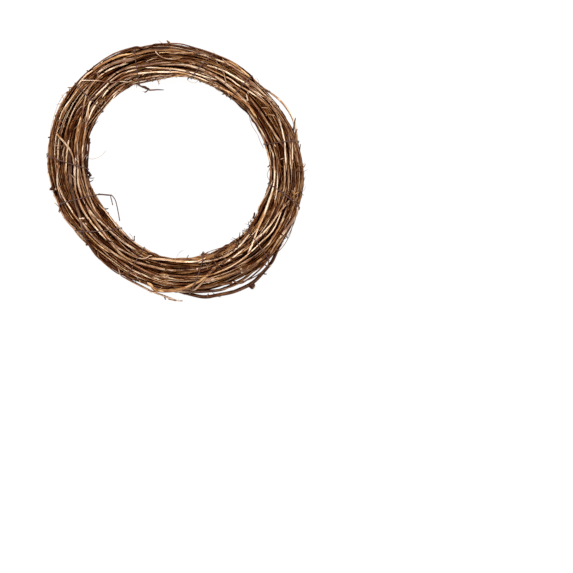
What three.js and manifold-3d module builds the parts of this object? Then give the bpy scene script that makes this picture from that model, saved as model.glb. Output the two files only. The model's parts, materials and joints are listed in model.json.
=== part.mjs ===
// A small grapevine wreath: cut vines coiled into a ring and bound by one spiral of thin wire.
// Millimetres. The ring lies flat on z = 0 round the origin, with +Z up.

import * as THREE from 'three';
import { mergeVertices } from 'three/addons/utils/BufferGeometryUtils.js';
import Module from 'manifold-3d';

const wasm = await Module();
wasm.setup();

// The ring isn't quite round: [inner, outer] radius of the bundle every 20 degrees from +X.
const RIM = [
  [75.2, 102.4], [73.6, 99.5], [72.8, 97.5], [72.8, 98.4], [75.2, 100.0], [76.4, 103.6],
  [76.8, 106.4], [76.0, 107.6], [73.6, 106.4], [68.8, 103.2], [63.6, 98.4], [61.0, 92.4],
  [64.5, 92.6], [68.4, 95.5], [69.6, 98.6], [70.5, 101.0], [73.0, 103.0], [72.4, 103.2],
];
const HALF_HEIGHT = 12.6;
const UNDER_BUNDLE = 2.3; // the wire passes below the bundle and clears the table
const MIDDLE = UNDER_BUNDLE + HALF_HEIGHT;

// A vine is a chain of rings, one in each of these radial planes that it passes.
const SLICES = 32;
const SIDES = 5;
const FLAT_SIDE_DOWN = 0.1 * Math.PI;
const GAP = 0.3;
const SEED = 27;

// Thick vines lie inside and thinner ones over them. depth is the place between the bundle's
// middle, 0, and its surface, 1, and turns is how often the layer's vines go round in all.
const LAYERS = [
  { turns: 4, lengths: [1.0, 1.3], radius: [2.7, 3.1], depth: [0.1, 0.28] },
  { turns: 6, lengths: [0.9, 1.3], radius: [1.9, 2.3], depth: [0.45, 0.6] },
  { turns: 22, lengths: [0.7, 1.3], radius: [1.1, 1.85], depth: [0.8, 1.0] },
];
// A vine works its way round the bundle by LAY turns in one turn of the ring, every second one
// the other way, and wanders off that line by up to about WANDER turns.
const LAY = 0.2;
const WANDER = 0.1;
const SLOW_WAVES = [1.6, 3.4];
const QUICK_WAVES = [4, 7];
const TAPER = 0.22;
const NODE_SWELLING = 0.1;
const NODE_SPACING = 4;

// Vines that spring out of the bundle between two turns of wire. from is the first plane, and
// stands is how far the vine's middle is from the ring's centre in the planes where it is out.
const LOOSE = [
  { name: 'loop_vine_low', from: 16, length: 33, radius: 1.7, colour: 0x4f3d33, out: 25,
    stands: [101.6, 106.0, 109.6, 103.4] },
  { name: 'loop_vine_inside_it', from: 19, length: 24, radius: 1.35, colour: 0x83603f, out: 25,
    stands: [97.6, 101.4, 102.6, 99.6] },
  { name: 'loop_vine_right', from: 27, length: 30, radius: 0.95, colour: 0xb98e5f, out: 34,
    stands: [101.2, 102.2] },
  { name: 'trailing_vine', from: 14, length: 10, radius: 0.95, colour: 0xc29a6c, out: 22,
    stands: [94.0, 97.4, 103.0] },
];
const LOOSE_HEIGHT = 14;
const LOOSE_DEPTH = 0.95;

// How the vines settle: their stiffness, how strongly each keeps to its own way, and for how many
// rounds they swell to full size, lie still and are then only pushed apart.
const STIFFNESS = 0.6;
const KEEPS_TO_WAY = 0.01;
const LOOSE_KEEPS_TO_WAY = 0.6;
const SMALLEST_SHARE = 0.3;
const SWELLING_ROUNDS = 1200;
const SETTLING_ROUNDS = 2000;
const PARTING_ROUNDS = 25;
const THINNING_ROUNDS = 6;

// Side twigs: the dark one across the top of the hole, and short cut stubs all round.
const HOLE_TWIG = [
  [-29.0, 68.2, 14.5], [-23.5, 66.4, 14.5], [-20.6, 64.4, 14.7], [-10.4, 65.2, 15.2],
];
const HOLE_TWIG_SPUR = [[-24.4, 66.6, 14.5], [-25.2, 63.0, 14.8]];
const HOLE_TWIG_RADII = [0.8, 0.9, 0.75, 0.6, 0.4];
const SPUR_RADII = [0.6, 0.4];
const STUBS = 26;
const STUB_LENGTH = [1.5, 4.5];
const STUB_RADIUS = [0.6, 1.0];
const STUB_LEAN = 1.3;
const STUB_BEND = 0.8;
const STUB_ROOM = 1.4;
const STUB_FROM_WIRE = 3.4;

// The wire's turns over the top of the bundle: the angles at which it leaves the hole and
// reaches the outer rim. Under the bundle it goes on to the next turn.
const WIRE_PASSES = [
  [-163.7, -164.3], [-181.5, -186.9], [-219.6, -221.0], [-247.3, -251.6], [-279.4, -288.1],
  [-307.2, -308.4], [-343.1, -346.1], [-367.6, -376.3], [-399.4, -403.7], [-431.3, -443.6],
  [-472.9, -475.1], [-494.2, -509.6], [-523.7, -524.3],
];
const WIRE_RADIUS = 0.28;
const WIRE_STEPS = 16;
const WIRE_SIDES = 4;
const WIRE_SLACK = 1.5;
const WIRE_PULL = 0.25;
const WIRE_ROUNDS = 260;
const WIRE_PARTING_ROUNDS = 60;
const WIRE_END_LONG = [[-47.2, -31.0, 15.6], [-49.6, -21.4, 15.8], [-55.2, -19.2, 15.8]];
const WIRE_END_SHORT = [[-55.6, -20.2, 13.4], [-52.8, -20.8, 13.2], [-50.8, -27.0, 13.0]];

// Three low vines touch the table, each in one of these planes, and are worn flat there.
const FEET = [1, 13, 22];
const FOOT_RADIUS = 1.5;
const FOOT_REACH = 8;
const WORN = 0.5;

const BARKS = [0xb98e62, 0x9c7047, 0x8a5a34, 0x7a5236, 0x5c4030, 0x6b5f57];
const WIRE_COLOUR = 0x4d3a36;

const FULL = 2 * Math.PI;
const DEGREE = Math.PI / 180;
const UPWARD = new THREE.Vector3(0, 0, 1);
const TABLE = { width: 400, thickness: 20 };

// One seeded stream of draws, so that the same wreath is built each time.
let drawn = SEED;
function draw(low = 0, high = 1) {
  drawn = (drawn + 0x6d2b79f5) | 0;
  let bits = Math.imul(drawn ^ (drawn >>> 15), 1 | drawn);
  bits = (bits + Math.imul(bits ^ (bits >>> 7), 61 | bits)) ^ bits;
  return low + (high - low) * (((bits ^ (bits >>> 14)) >>> 0) / 4294967296);
}

const wrap = (slice) => ((slice % SLICES) + SLICES) % SLICES;

const rimCurve = new THREE.CatmullRomCurve3(
  RIM.map(([inner, outer]) => new THREE.Vector3(inner, outer, 0)), true, 'catmullrom');

// The bundle's section at an angle: how far its middle is from the centre, and its half width.
function sectionAt(angle) {
  const turn = angle / FULL;
  const { x: inner, y: outer } = rimCurve.getPoint(turn - Math.floor(turn));
  return { middle: (inner + outer) / 2, halfWidth: (outer - inner) / 2 };
}

const SECTIONS = Array.from({ length: SLICES }, (_, slice) => sectionAt((slice / SLICES) * FULL));

// A ring of a vine: its plane, its place across and up from the section's middle, its radius,
// and the place that it tends to.
function makeRing(slice, radius, bearing, depth) {
  const { halfWidth } = SECTIONS[wrap(slice)];
  const across = Math.cos(bearing) * depth * (halfWidth - radius);
  const up = Math.sin(bearing) * depth * (HALF_HEIGHT - radius);
  return { slice, radius, across, up, aim: [across, up], pull: KEEPS_TO_WAY, free: false };
}

function vineRadius(radius, step, length, firstNode) {
  const taper = 1 + TAPER * (0.5 - step / length);
  const node = (step + firstNode) % NODE_SPACING === 0 ? 1 + NODE_SWELLING : 1;
  return radius * taper * node;
}

function growLayer(layer, vines) {
  let laid = 0;
  const total = layer.turns * SLICES;
  const startPlane = Math.floor(draw(0, SLICES));
  while (laid < total) {
    const left = total - laid;
    let length = Math.round(draw(...layer.lengths) * SLICES);
    if (left - length < layer.lengths[0] * SLICES) {
      length = left > layer.lengths[1] * SLICES ? Math.round(left / 2) : left;
    }
    const radius = draw(...layer.radius);
    const depth = draw(...layer.depth);
    const start = draw(0, FULL);
    const lay = vines.length % 2 ? LAY : -LAY;
    const [slow, slowStart] = [draw(...SLOW_WAVES), draw(0, FULL)];
    const [quick, quickStart] = [draw(...QUICK_WAVES), draw(0, FULL)];
    const firstNode = Math.floor(draw(0, NODE_SPACING));
    const rings = [];
    for (let step = 0; step < length; step++) {
      const turn = (laid + step) / SLICES;
      const wander = Math.sin(turn * slow + slowStart) + 0.5 * Math.sin(turn * quick + quickStart);
      const bearing = FULL * (lay * turn + WANDER * wander) + start;
      const ringRadius = vineRadius(radius, step, length, firstNode);
      rings.push(makeRing(startPlane + laid + step, ringRadius, bearing, depth));
    }
    const number = String(vines.length + 1).padStart(2, '0');
    const colour = BARKS[Math.floor(draw(0, BARKS.length))];
    vines.push({ name: `vine_${number}`, rings, colour });
    laid += length;
  }
}

function placeLoose(loose) {
  const rings = [];
  for (let step = 0; step <= loose.length; step++) {
    const slice = loose.from + step;
    const standing = loose.stands[slice - loose.out];
    const radius = vineRadius(loose.radius, step, loose.length, 1);
    const ring = makeRing(slice, radius, 0, LOOSE_DEPTH);
    if (standing !== undefined) {
      ring.across = standing - SECTIONS[wrap(slice)].middle;
      ring.up = LOOSE_HEIGHT - MIDDLE;
      ring.aim = [ring.across, ring.up];
      ring.pull = LOOSE_KEEPS_TO_WAY;
      ring.free = true;
    }
    rings.push(ring);
  }
  return { name: loose.name, rings, colour: loose.colour };
}

// Keeps two stretches of vine between the same two planes apart. Each is straight, so what is
// between them changes evenly, and its shortest length has a plain formula.
function shortestBetween(one, two) {
  const startAcross = two[0].across - one[0].across;
  const startUp = two[0].up - one[0].up;
  const changeAcross = two[1].across - one[1].across - startAcross;
  const changeUp = two[1].up - one[1].up - startUp;
  const change = changeAcross ** 2 + changeUp ** 2;
  const along = change > 0
    ? THREE.MathUtils.clamp(-(startAcross * changeAcross + startUp * changeUp) / change, 0, 1)
    : 0;
  const across = startAcross + along * changeAcross;
  const up = startUp + along * changeUp;
  const radii = THREE.MathUtils.lerp(
    one[0].radius + two[0].radius, one[1].radius + two[1].radius, along);
  return { along, across, up, distance: Math.hypot(across, up), radii };
}

function pushApart(one, two, grown) {
  const { along, across, up, distance, radii } = shortestBetween(one, two);
  const wanted = radii * grown + GAP;
  if (distance >= wanted || distance === 0) return;
  const near = 1 - along;
  const share = (wanted - distance) / distance / 3 / (near ** 2 + along ** 2);
  [near, along].forEach((weight, end) => {
    one[end].across -= across * share * weight;
    one[end].up -= up * share * weight;
    two[end].across += across * share * weight;
    two[end].up += up * share * weight;
  });
}

// A vine is stiff: each ring is drawn towards the middle of its neighbours and its own place.
function straighten(rings) {
  for (let step = 1; step < rings.length - 1; step++) {
    const ring = rings[step];
    const before = rings[step - 1];
    const after = rings[step + 1];
    ring.across += STIFFNESS * ((before.across + after.across) / 2 - ring.across);
    ring.up += STIFFNESS * ((before.up + after.up) / 2 - ring.up);
  }
  for (const ring of rings) {
    ring.across += ring.pull * (ring.aim[0] - ring.across);
    ring.up += ring.pull * (ring.aim[1] - ring.up);
  }
}

function keepInBundle(ring) {
  if (ring.free) return;
  const { halfWidth } = SECTIONS[wrap(ring.slice)];
  const reach = Math.hypot(
    ring.across / (halfWidth - ring.radius), ring.up / (HALF_HEIGHT - ring.radius));
  if (reach > 1) {
    ring.across /= reach;
    ring.up /= reach;
  }
}

// Lists the stretches of all vines between each plane and the next.
function stretchesOf(vines) {
  const stretches = Array.from({ length: SLICES }, () => []);
  for (const { rings } of vines) {
    for (let step = 0; step < rings.length - 1; step++) {
      stretches[wrap(rings[step].slice)].push([rings[step], rings[step + 1]]);
    }
  }
  return stretches;
}

function forEachPair(stretches, act) {
  for (const between of stretches) {
    for (let one = 0; one < between.length; one++) {
      for (let two = one + 1; two < between.length; two++) {
        act(between[one], between[two]);
      }
    }
  }
}

// The lowest vine in each foot's plane comes down to the table.
function lowerFeet(vines) {
  const feet = [];
  for (const plane of FEET) {
    let lowest = null;
    for (const vine of vines) {
      vine.rings.forEach((ring, step) => {
        const inside = step > 1 && step < vine.rings.length - 2;
        const fits = ring.radius > FOOT_RADIUS && Math.abs(ring.across) < FOOT_REACH;
        if (!inside || !fits || wrap(ring.slice) !== plane) return;
        if (!lowest || ring.up - ring.radius < lowest.ring.up - lowest.ring.radius) {
          lowest = { ring, vine };
        }
      });
    }
    const { ring, vine } = lowest;
    ring.free = true;
    ring.pull = 1;
    const flatSide = ring.radius * Math.cos(Math.PI / SIDES);
    ring.aim = [ring.across, flatSide - WORN - MIDDLE];
    vine.isFoot = true;
    feet.push(ring);
  }
  return feet;
}

function settle(vines) {
  const stretches = stretchesOf(vines);
  let feet = [];
  for (let round = 0; round < SETTLING_ROUNDS; round++) {
    const grown = Math.min(1, SMALLEST_SHARE + round / SWELLING_ROUNDS);
    if (round === SWELLING_ROUNDS) feet = lowerFeet(vines);
    if (round < SETTLING_ROUNDS - PARTING_ROUNDS) vines.forEach(({ rings }) => straighten(rings));
    forEachPair(stretches, (one, two) => pushApart(one, two, grown));
    vines.forEach(({ rings }) => rings.forEach(keepInBundle));
    for (const foot of feet) [foot.across, foot.up] = foot.aim;
  }
  return stretches;
}

// Where vines still press on each other, both are thinner there.
function thinWherePressed(stretches) {
  forEachPair(stretches, (one, two) => {
    const { distance, radii } = shortestBetween(one, two);
    const room = distance - GAP / 2;
    if (radii <= room) return;
    const scale = room / radii;
    for (const ring of [...one, ...two]) ring.radius *= scale;
  });
}

const angleOf = (ring) => (ring.slice / SLICES) * FULL;

function ringCentre(ring) {
  const angle = angleOf(ring);
  const reach = SECTIONS[wrap(ring.slice)].middle + ring.across;
  return new THREE.Vector3(reach * Math.cos(angle), reach * Math.sin(angle), MIDDLE + ring.up);
}

// Bends a cylinder onto a row of stations, one for each of its rings of corners.
function tube(stations, sides) {
  const steps = stations.length - 1;
  const geometry = new THREE.CylinderGeometry(1, 1, steps, sides, steps, false, FLAT_SIDE_DOWN);
  const corners = geometry.attributes.position;
  for (let corner = 0; corner < corners.count; corner++) {
    const station = stations[Math.round(steps / 2 - corners.getY(corner))];
    const place = station.centre.clone()
      .addScaledVector(station.across, corners.getZ(corner) * station.radius)
      .addScaledVector(station.up, corners.getX(corner) * station.radius);
    corners.setXYZ(corner, place.x, place.y, place.z);
  }
  return solidFrom(geometry);
}

function solidFrom(geometry) {
  geometry.deleteAttribute('normal');
  geometry.deleteAttribute('uv');
  const merged = mergeVertices(geometry);
  return new wasm.Manifold(new wasm.Mesh({
    numProp: 3,
    vertProperties: new Float32Array(merged.attributes.position.array),
    triVerts: new Uint32Array(merged.index.array),
  }));
}

function geometryFrom(solid) {
  const mesh = solid.getMesh();
  const geometry = new THREE.BufferGeometry();
  geometry.setAttribute('position', new THREE.BufferAttribute(mesh.vertProperties, 3));
  geometry.setIndex(new THREE.BufferAttribute(mesh.triVerts, 1));
  geometry.computeVertexNormals();
  return geometry;
}

function vineSolid(rings) {
  return tube(rings.map((ring) => {
    const angle = angleOf(ring);
    const across = new THREE.Vector3(Math.cos(angle), Math.sin(angle), 0);
    return { centre: ringCentre(ring), across, up: UPWARD, radius: ring.radius };
  }), SIDES);
}

// A tube through free points in space, whose sections don't twist.
function tubeThrough(points, radii, sides) {
  let across = new THREE.Vector3(0.3, 0.2, 1);
  return tube(points.map((centre, step) => {
    const before = points[Math.max(step - 1, 0)];
    const after = points[Math.min(step + 1, points.length - 1)];
    const along = after.clone().sub(before).normalize();
    across = across.clone().addScaledVector(along, -across.dot(along)).normalize();
    const up = across.clone().cross(along);
    return { centre, across, up, radius: radii[Math.min(step, radii.length - 1)] };
  }), sides);
}

// The wire starts as an even spiral outside the bundle and is then drawn tight on the vines.
function spiralPoints() {
  const points = [];
  for (let pass = 0; pass < WIRE_PASSES.length - 1; pass++) {
    const [inner, outer] = WIRE_PASSES[pass];
    const next = WIRE_PASSES[pass + 1][0];
    for (let step = 0; step < WIRE_STEPS; step++) {
      const turned = step / WIRE_STEPS;
      const degrees = turned < 0.5
        ? THREE.MathUtils.lerp(inner, outer, turned * 2)
        : THREE.MathUtils.lerp(outer, next, turned * 2 - 1);
      const { middle, halfWidth } = sectionAt(degrees * DEGREE);
      const bearing = Math.PI - turned * FULL;
      const reach = middle + Math.cos(bearing) * (halfWidth + WIRE_SLACK);
      const height = MIDDLE + Math.sin(bearing) * (HALF_HEIGHT + WIRE_SLACK);
      points.push(new THREE.Vector3(
        reach * Math.cos(degrees * DEGREE), reach * Math.sin(degrees * DEGREE), height));
    }
  }
  return points;
}

// The shortest line between two straight stretches in space.
function closestPoints(one, two) {
  const first = one[1].clone().sub(one[0]);
  const second = two[1].clone().sub(two[0]);
  const between = one[0].clone().sub(two[0]);
  const a = first.dot(first);
  const b = first.dot(second);
  const c = second.dot(second);
  const d = first.dot(between);
  const e = second.dot(between);
  const spread = a * c - b * b;
  let along = spread > 0 ? THREE.MathUtils.clamp((b * e - c * d) / spread, 0, 1) : 0;
  const other = THREE.MathUtils.clamp((b * along + e) / c, 0, 1);
  along = THREE.MathUtils.clamp((b * other - d) / a, 0, 1);
  const gap = between.addScaledVector(first, along).addScaledVector(second, -other);
  return { along, other, gap };
}

function tightenWire(points, stretches) {
  const lines = stretches.map((between) => between.map(([start, end]) => (
    { ends: [ringCentre(start), ringCentre(end)], radii: [start.radius, end.radius] })));
  for (let round = 0; round < WIRE_ROUNDS; round++) {
    if (round < WIRE_ROUNDS - WIRE_PARTING_ROUNDS) {
      for (let step = 1; step < points.length - 1; step++) {
        const halfway = points[step - 1].clone().add(points[step + 1]).multiplyScalar(0.5);
        points[step].lerp(halfway, WIRE_PULL);
      }
    }
    for (let step = 0; step < points.length - 1; step++) {
      const piece = [points[step], points[step + 1]];
      const turn = Math.atan2(piece[0].y, piece[0].x) / FULL;
      const plane = Math.floor(turn * SLICES);
      for (let near = plane - 1; near <= plane + 1; near++) {
        for (const { ends, radii } of lines[wrap(near)]) {
          const { along, other, gap } = closestPoints(piece, ends);
          const wanted = THREE.MathUtils.lerp(...radii, other) + WIRE_RADIUS + GAP;
          const distance = gap.length();
          if (distance >= wanted) continue;
          const weights = [1 - along, along];
          const share = (wanted - distance) / distance / (weights[0] ** 2 + weights[1] ** 2);
          piece.forEach((point, end) => point.addScaledVector(gap, share * weights[end]));
        }
      }
    }
  }
}

function clearance(point, stretches, except) {
  const turn = Math.atan2(point.y, point.x) / FULL;
  const plane = Math.floor(turn * SLICES);
  let least = Infinity;
  for (let near = plane - 1; near <= plane + 1; near++) {
    for (const [start, end] of stretches[wrap(near)]) {
      if (except.includes(start)) continue;
      const line = new THREE.Line3(ringCentre(start), ringCentre(end));
      const along = line.closestPointToPointParameter(point, true);
      const distance = line.at(along, new THREE.Vector3()).distanceTo(point);
      least = Math.min(least, distance - THREE.MathUtils.lerp(start.radius, end.radius, along));
    }
  }
  return least;
}

// A short cut stub leaves its vine outwards, leaning along it, where nothing is in its way.
function growStub(vines, stretches, wire) {
  const vine = vines[Math.floor(draw(0, vines.length))];
  const step = Math.floor(draw(2, vine.rings.length - 2));
  const ring = vine.rings[step];
  const lean = draw(-1, 1) > 0 ? STUB_LEAN : -STUB_LEAN;
  const length = draw(...STUB_LENGTH);
  const thick = Math.min(ring.radius * 0.6, draw(...STUB_RADIUS));
  const outward = new THREE.Vector2(ring.across, ring.up).normalize();
  if (outward.y < -0.3) return null;
  const angle = angleOf(ring) + Math.PI / SLICES;
  const direction = new THREE.Vector3(
    outward.x * Math.cos(angle) - lean * Math.sin(angle),
    outward.x * Math.sin(angle) + lean * Math.cos(angle), outward.y).normalize();
  const root = ringCentre(ring).lerp(ringCentre(vine.rings[step + 1]), 0.5);
  const reach = ring.radius + length;
  const points = [0, 0.5, 1].map((share) => root.clone().addScaledVector(direction, share * reach));
  points[2].z += draw(-STUB_BEND, STUB_BEND);
  const tests = [0.55, 0.75, 1].map((share) => root.clone().addScaledVector(direction, share * reach));
  const isClear = tests.every((test) => clearance(test, stretches, vine.rings) > thick + STUB_ROOM
    && wire.every((point) => point.distanceTo(test) > thick + STUB_FROM_WIRE));
  if (!isClear) return null;
  return { vine, solid: tubeThrough(points, [thick, thick * 0.9, thick * 0.7], 4) };
}

// The dark side twig grows from the vine that lies nearest to its first point.
function growHoleTwig(vines) {
  const [first, ...rest] = HOLE_TWIG.map((place) => new THREE.Vector3(...place));
  let nearest = { distance: Infinity };
  for (const vine of vines) {
    for (let step = 0; step < vine.rings.length - 1; step++) {
      const line = new THREE.Line3(ringCentre(vine.rings[step]), ringCentre(vine.rings[step + 1]));
      const root = line.closestPointToPoint(first, true, new THREE.Vector3());
      const distance = root.distanceTo(first);
      if (distance < nearest.distance) nearest = { distance, vine, root };
    }
  }
  const { vine, root } = nearest;
  const spur = HOLE_TWIG_SPUR.map((place) => new THREE.Vector3(...place));
  vine.solid = vine.solid
    .add(tubeThrough([root, first, ...rest], HOLE_TWIG_RADII, 5))
    .add(tubeThrough(spur, SPUR_RADII, 4));
}

function meshOf(name, solid, colour, roughness, metalness) {
  const material = new THREE.MeshStandardMaterial({ color: colour, roughness, metalness });
  const mesh = new THREE.Mesh(geometryFrom(solid), material);
  mesh.name = name;
  return mesh;
}

const vines = LOOSE.map(placeLoose);
LAYERS.forEach((layer) => growLayer(layer, vines));
const stretches = settle(vines);
for (let round = 0; round < THINNING_ROUNDS; round++) thinWherePressed(stretches);

const wirePoints = spiralPoints();
tightenWire(wirePoints, stretches);
const lead = (route) => route.map((place) => new THREE.Vector3(...place));
const wireRoute = [...lead(WIRE_END_LONG), ...wirePoints, ...lead(WIRE_END_SHORT)];

for (const vine of vines) vine.solid = vineSolid(vine.rings);
let stubs = 0;
while (stubs < STUBS) {
  const stub = growStub(vines, stretches, wirePoints);
  if (!stub) continue;
  stub.vine.solid = stub.vine.solid.add(stub.solid);
  stubs += 1;
}
growHoleTwig(vines);

const tableBox = new THREE.BoxGeometry(TABLE.width, TABLE.width, TABLE.thickness);
const table = solidFrom(tableBox.translate(0, 0, -TABLE.thickness / 2));
const wreath = new THREE.Group();
for (const vine of vines) {
  const solid = vine.isFoot ? vine.solid.subtract(table) : vine.solid;
  wreath.add(meshOf(vine.name, solid, vine.colour, 0.85, 0));
}
wreath.add(meshOf('tie_wire', tubeThrough(wireRoute, [WIRE_RADIUS], WIRE_SIDES), WIRE_COLOUR, 0.5, 0.7));

export default wreath;
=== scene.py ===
import json
import math

import bpy
import numpy as np
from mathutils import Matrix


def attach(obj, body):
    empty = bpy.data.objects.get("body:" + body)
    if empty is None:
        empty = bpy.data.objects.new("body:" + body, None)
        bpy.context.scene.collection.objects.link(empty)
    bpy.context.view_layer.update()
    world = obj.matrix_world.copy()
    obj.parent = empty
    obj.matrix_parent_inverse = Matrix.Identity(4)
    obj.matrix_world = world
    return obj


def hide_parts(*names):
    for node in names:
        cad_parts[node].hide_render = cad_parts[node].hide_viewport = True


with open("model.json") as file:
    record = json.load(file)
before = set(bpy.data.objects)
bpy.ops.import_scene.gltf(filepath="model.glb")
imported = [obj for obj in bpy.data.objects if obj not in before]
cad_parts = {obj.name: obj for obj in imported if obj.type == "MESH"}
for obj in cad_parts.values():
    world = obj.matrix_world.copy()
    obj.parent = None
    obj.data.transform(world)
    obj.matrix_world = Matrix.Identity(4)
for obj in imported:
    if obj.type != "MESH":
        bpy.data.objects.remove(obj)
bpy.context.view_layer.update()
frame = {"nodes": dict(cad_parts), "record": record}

# The camera looks straight down on the wreath from far above, as the photograph does. A place in
# the photograph is given in its pixels, and PIXEL is one of them at the wreath.
MM = 0.001
PIXEL = 0.8 * MM
PHOTO_SIDE = 573
RING_CENTRE_PIXEL = np.array([176.0, 171.3])
LENS = 300
SENSOR = 36
BAND_TOP = 20 * MM

middle_of_view = (np.full(2, PHOTO_SIDE / 2) - RING_CENTRE_PIXEL) * (PIXEL, -PIXEL)
bpy.ops.object.camera_add(
    location=(*middle_of_view, BAND_TOP + PHOTO_SIDE * PIXEL * LENS / SENSOR), rotation=(0, 0, 0))
camera = bpy.context.object
camera.name = "camera"
camera.data.lens = LENS
camera.data.sensor_width = SENSOR
bpy.context.scene.camera = camera

# A white table, lit softly from above and from the upper left, with white all round.
TABLE_SIDE = 60
# A light is its name, strength, softness, tilt from straight above and turn round the table.
LIGHTS = [("key_light", 2.4, 24, 20, 100), ("fill_light", 0.6, 50, 50, -60)]

bpy.ops.object.select_all(action="DESELECT")
bpy.ops.mesh.primitive_plane_add(size=TABLE_SIDE)
table = bpy.context.object
table.name = "table"
table_white = bpy.data.materials.new("table_white")
table_white.use_nodes = True
shader = table_white.node_tree.nodes["Principled BSDF"]
shader.inputs["Base Color"].default_value = (0.06, 0.06, 0.06, 1)
shader.inputs["Roughness"].default_value = 0.9
shader.inputs["Specular IOR Level"].default_value = 0.1
shader.inputs["Emission Color"].default_value = (1, 1, 1, 1)
shader.inputs["Emission Strength"].default_value = 0.97
table.data.materials.append(table_white)

for name, energy, softness, tilt, turn in LIGHTS:
    bpy.ops.object.light_add(type="SUN", rotation=(0, math.radians(-tilt), math.radians(turn - 180)))
    light = bpy.context.object
    light.name = name
    light.data.energy = energy
    light.data.angle = math.radians(softness)

world = bpy.data.worlds.new("white_room")
world.use_nodes = True
world.node_tree.nodes["Background"].inputs["Color"].default_value = (1, 1, 1, 1)
world.node_tree.nodes["Background"].inputs["Strength"].default_value = 0.34
bpy.context.scene.world = world
bpy.context.scene.view_settings.view_transform = "Standard"

# The long vines: cuttings of grapevine coiled into the ring, each one natural piece with its
# nodes, bark and cut side stubs. Each keeps the line and thickness of its solid, which has a ring
# of corners in every one of 32 planes through the ring's axis.
SLICES = 32
STEPS = 10
PLANES = SLICES * STEPS
CORNER_SPREAD = math.cos(math.radians(18))
CORNER_RISE = math.sin(math.radians(18))
ON_PLANE = 3e-6
LINK_ROUNDS = 12
SIDE_TWIG_CLEAR = 1.3
LONG_SIDE_TWIG = 9 * MM
NODE_SWELLS = 1.03
# The bark takes up the rest of a vine's thickness, and more of the two dark loops than of others.
SLENDER = 0.94
OWN_SLENDER = {"loop_vine_low": 0.82, "loop_vine_inside_it": 0.82}
THICK_VINE = 1.5 * MM
THICK_SIDES, THIN_SIDES = 20, 14
SWAY = 0.28 * MM
SWAY_STEPS = (7, 26)
THIN_END = 4
STEADY_END = 6
CUT_SLANT = 0.5
# How pale a stem is: 0 is the darkest, 1 the palest. It drifts along the stem, in waves.
STEM_TONE = {"bark_tan": (0.15, 0.7), "bark_brown": (0.2, 0.75), "bark_dark": (0.25, 0.7),
             "bark_grey": (0.3, 0.75)}
OWN_TONE = {
    "loop_vine_low": 0.5, "loop_vine_inside_it": 0.45, "loop_vine_right": 0.75, "trailing_vine": 0.8}
TONE_DRIFT = 0.12
TONE_DRIFT_OVER = 30 * MM
# Painted shade in the bark's grooves: a vine's tone drops where its relief sinks below this share of its
# radius.
GROOVE_PAINTED_SHADE = 3.2
GROOVE_BELOW = 0.97
UP = np.array([0.0, 0.0, 1.0])


def solid_of(node):
    """The merged corners of a node's solid, and the edges between them."""
    mesh = node.data
    places = np.empty(len(mesh.vertices) * 3)
    mesh.vertices.foreach_get("co", places)
    places = places.reshape(-1, 3)
    corners = np.empty(len(mesh.loops), int)
    mesh.loops.foreach_get("vertex_index", corners)
    _, first, merged = np.unique(
        np.round(places * 1e6).astype(int), axis=0, return_index=True, return_inverse=True)
    sides = merged.ravel()[corners].reshape(-1, 3)
    edges = np.sort(sides[:, [[0, 1], [1, 2], [2, 0]]].reshape(-1, 2), axis=1)
    return places[first], np.unique(edges, axis=0)


def groups_along(edges, count):
    """Numbers that are the same for all corners that the edges connect."""
    group = np.arange(count)
    for _ in range(LINK_ROUNDS):
        for one, two in edges:
            group[one] = group[two] = min(group[one], group[two])
    return group


def read_vine(node):
    """A vine's rings in order, with the first one's plane, and each one's distance from the axis,
    height and radius; and the side twigs that stand out of it, each with its root, tip and radius."""
    places, edges = solid_of(node)
    reach = np.hypot(places[:, 0], places[:, 1])
    turn = np.arctan2(places[:, 1], places[:, 0]) / math.tau * SLICES
    plane = np.round(turn).astype(int)
    is_flat = np.abs(turn - plane) * math.tau / SLICES * reach < ON_PLANE
    plane %= SLICES
    flat_edges = edges[is_flat[edges].all(axis=1)]
    group = groups_along(flat_edges[plane[flat_edges[:, 0]] == plane[flat_edges[:, 1]]], len(places))
    links = {}
    for one, two in flat_edges:
        if group[one] != group[two]:
            links.setdefault(group[one], set()).add(group[two])
            links.setdefault(group[two], set()).add(group[one])

    ends = [ring for ring, near in links.items() if len(near) == 1]
    onward = (plane[list(links[ends[0]])[0]] - plane[ends[0]]) % SLICES == 1
    chain = [ends[0] if onward else ends[1]]
    while True:
        ahead = [ring for ring in links[chain[-1]] if ring not in chain[-2:]]
        if not ahead:
            break
        chain.append(ahead[0])
    rows = []
    for ring in chain:
        members = np.flatnonzero(is_flat & (group == ring))
        near, far = members[np.argmin(reach[members])], members[np.argmax(reach[members])]
        radius = (reach[far] - reach[near]) / 2 / CORNER_SPREAD
        height = (places[near, 2] + places[far, 2]) / 2 - radius * CORNER_RISE
        rows.append([(reach[near] + reach[far]) / 2, height, radius])
    rows = np.array(rows)
    first_plane = int(plane[chain[0]])

    line = round_the_ring(first_plane, rows[:, 0], rows[:, 1], SLICES)
    line = between(line, STEPS)
    group = groups_along(edges[(~is_flat[edges]).all(axis=1)], len(places))
    twigs = []
    for name in np.unique(group[~is_flat]):
        members = places[(group == name) & ~is_flat]
        distance = np.linalg.norm(members[:, None] - line[None], axis=2)
        nearest = distance.min(axis=1)
        clear = SIDE_TWIG_CLEAR * rows[:, 2].mean()
        if len(members) > 6 and clear < nearest.max() < LONG_SIDE_TWIG:
            tip_corners = members[np.argsort(nearest)[-5:]]
            tip = tip_corners.mean(axis=0)
            spread = np.linalg.norm(tip_corners - tip, axis=1)
            root = line[distance[np.argsort(nearest)[:4]].mean(axis=0).argmin()]
            twigs.append((root, tip, np.sort(spread)[1:].mean()))
    return first_plane, rows, twigs


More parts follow.
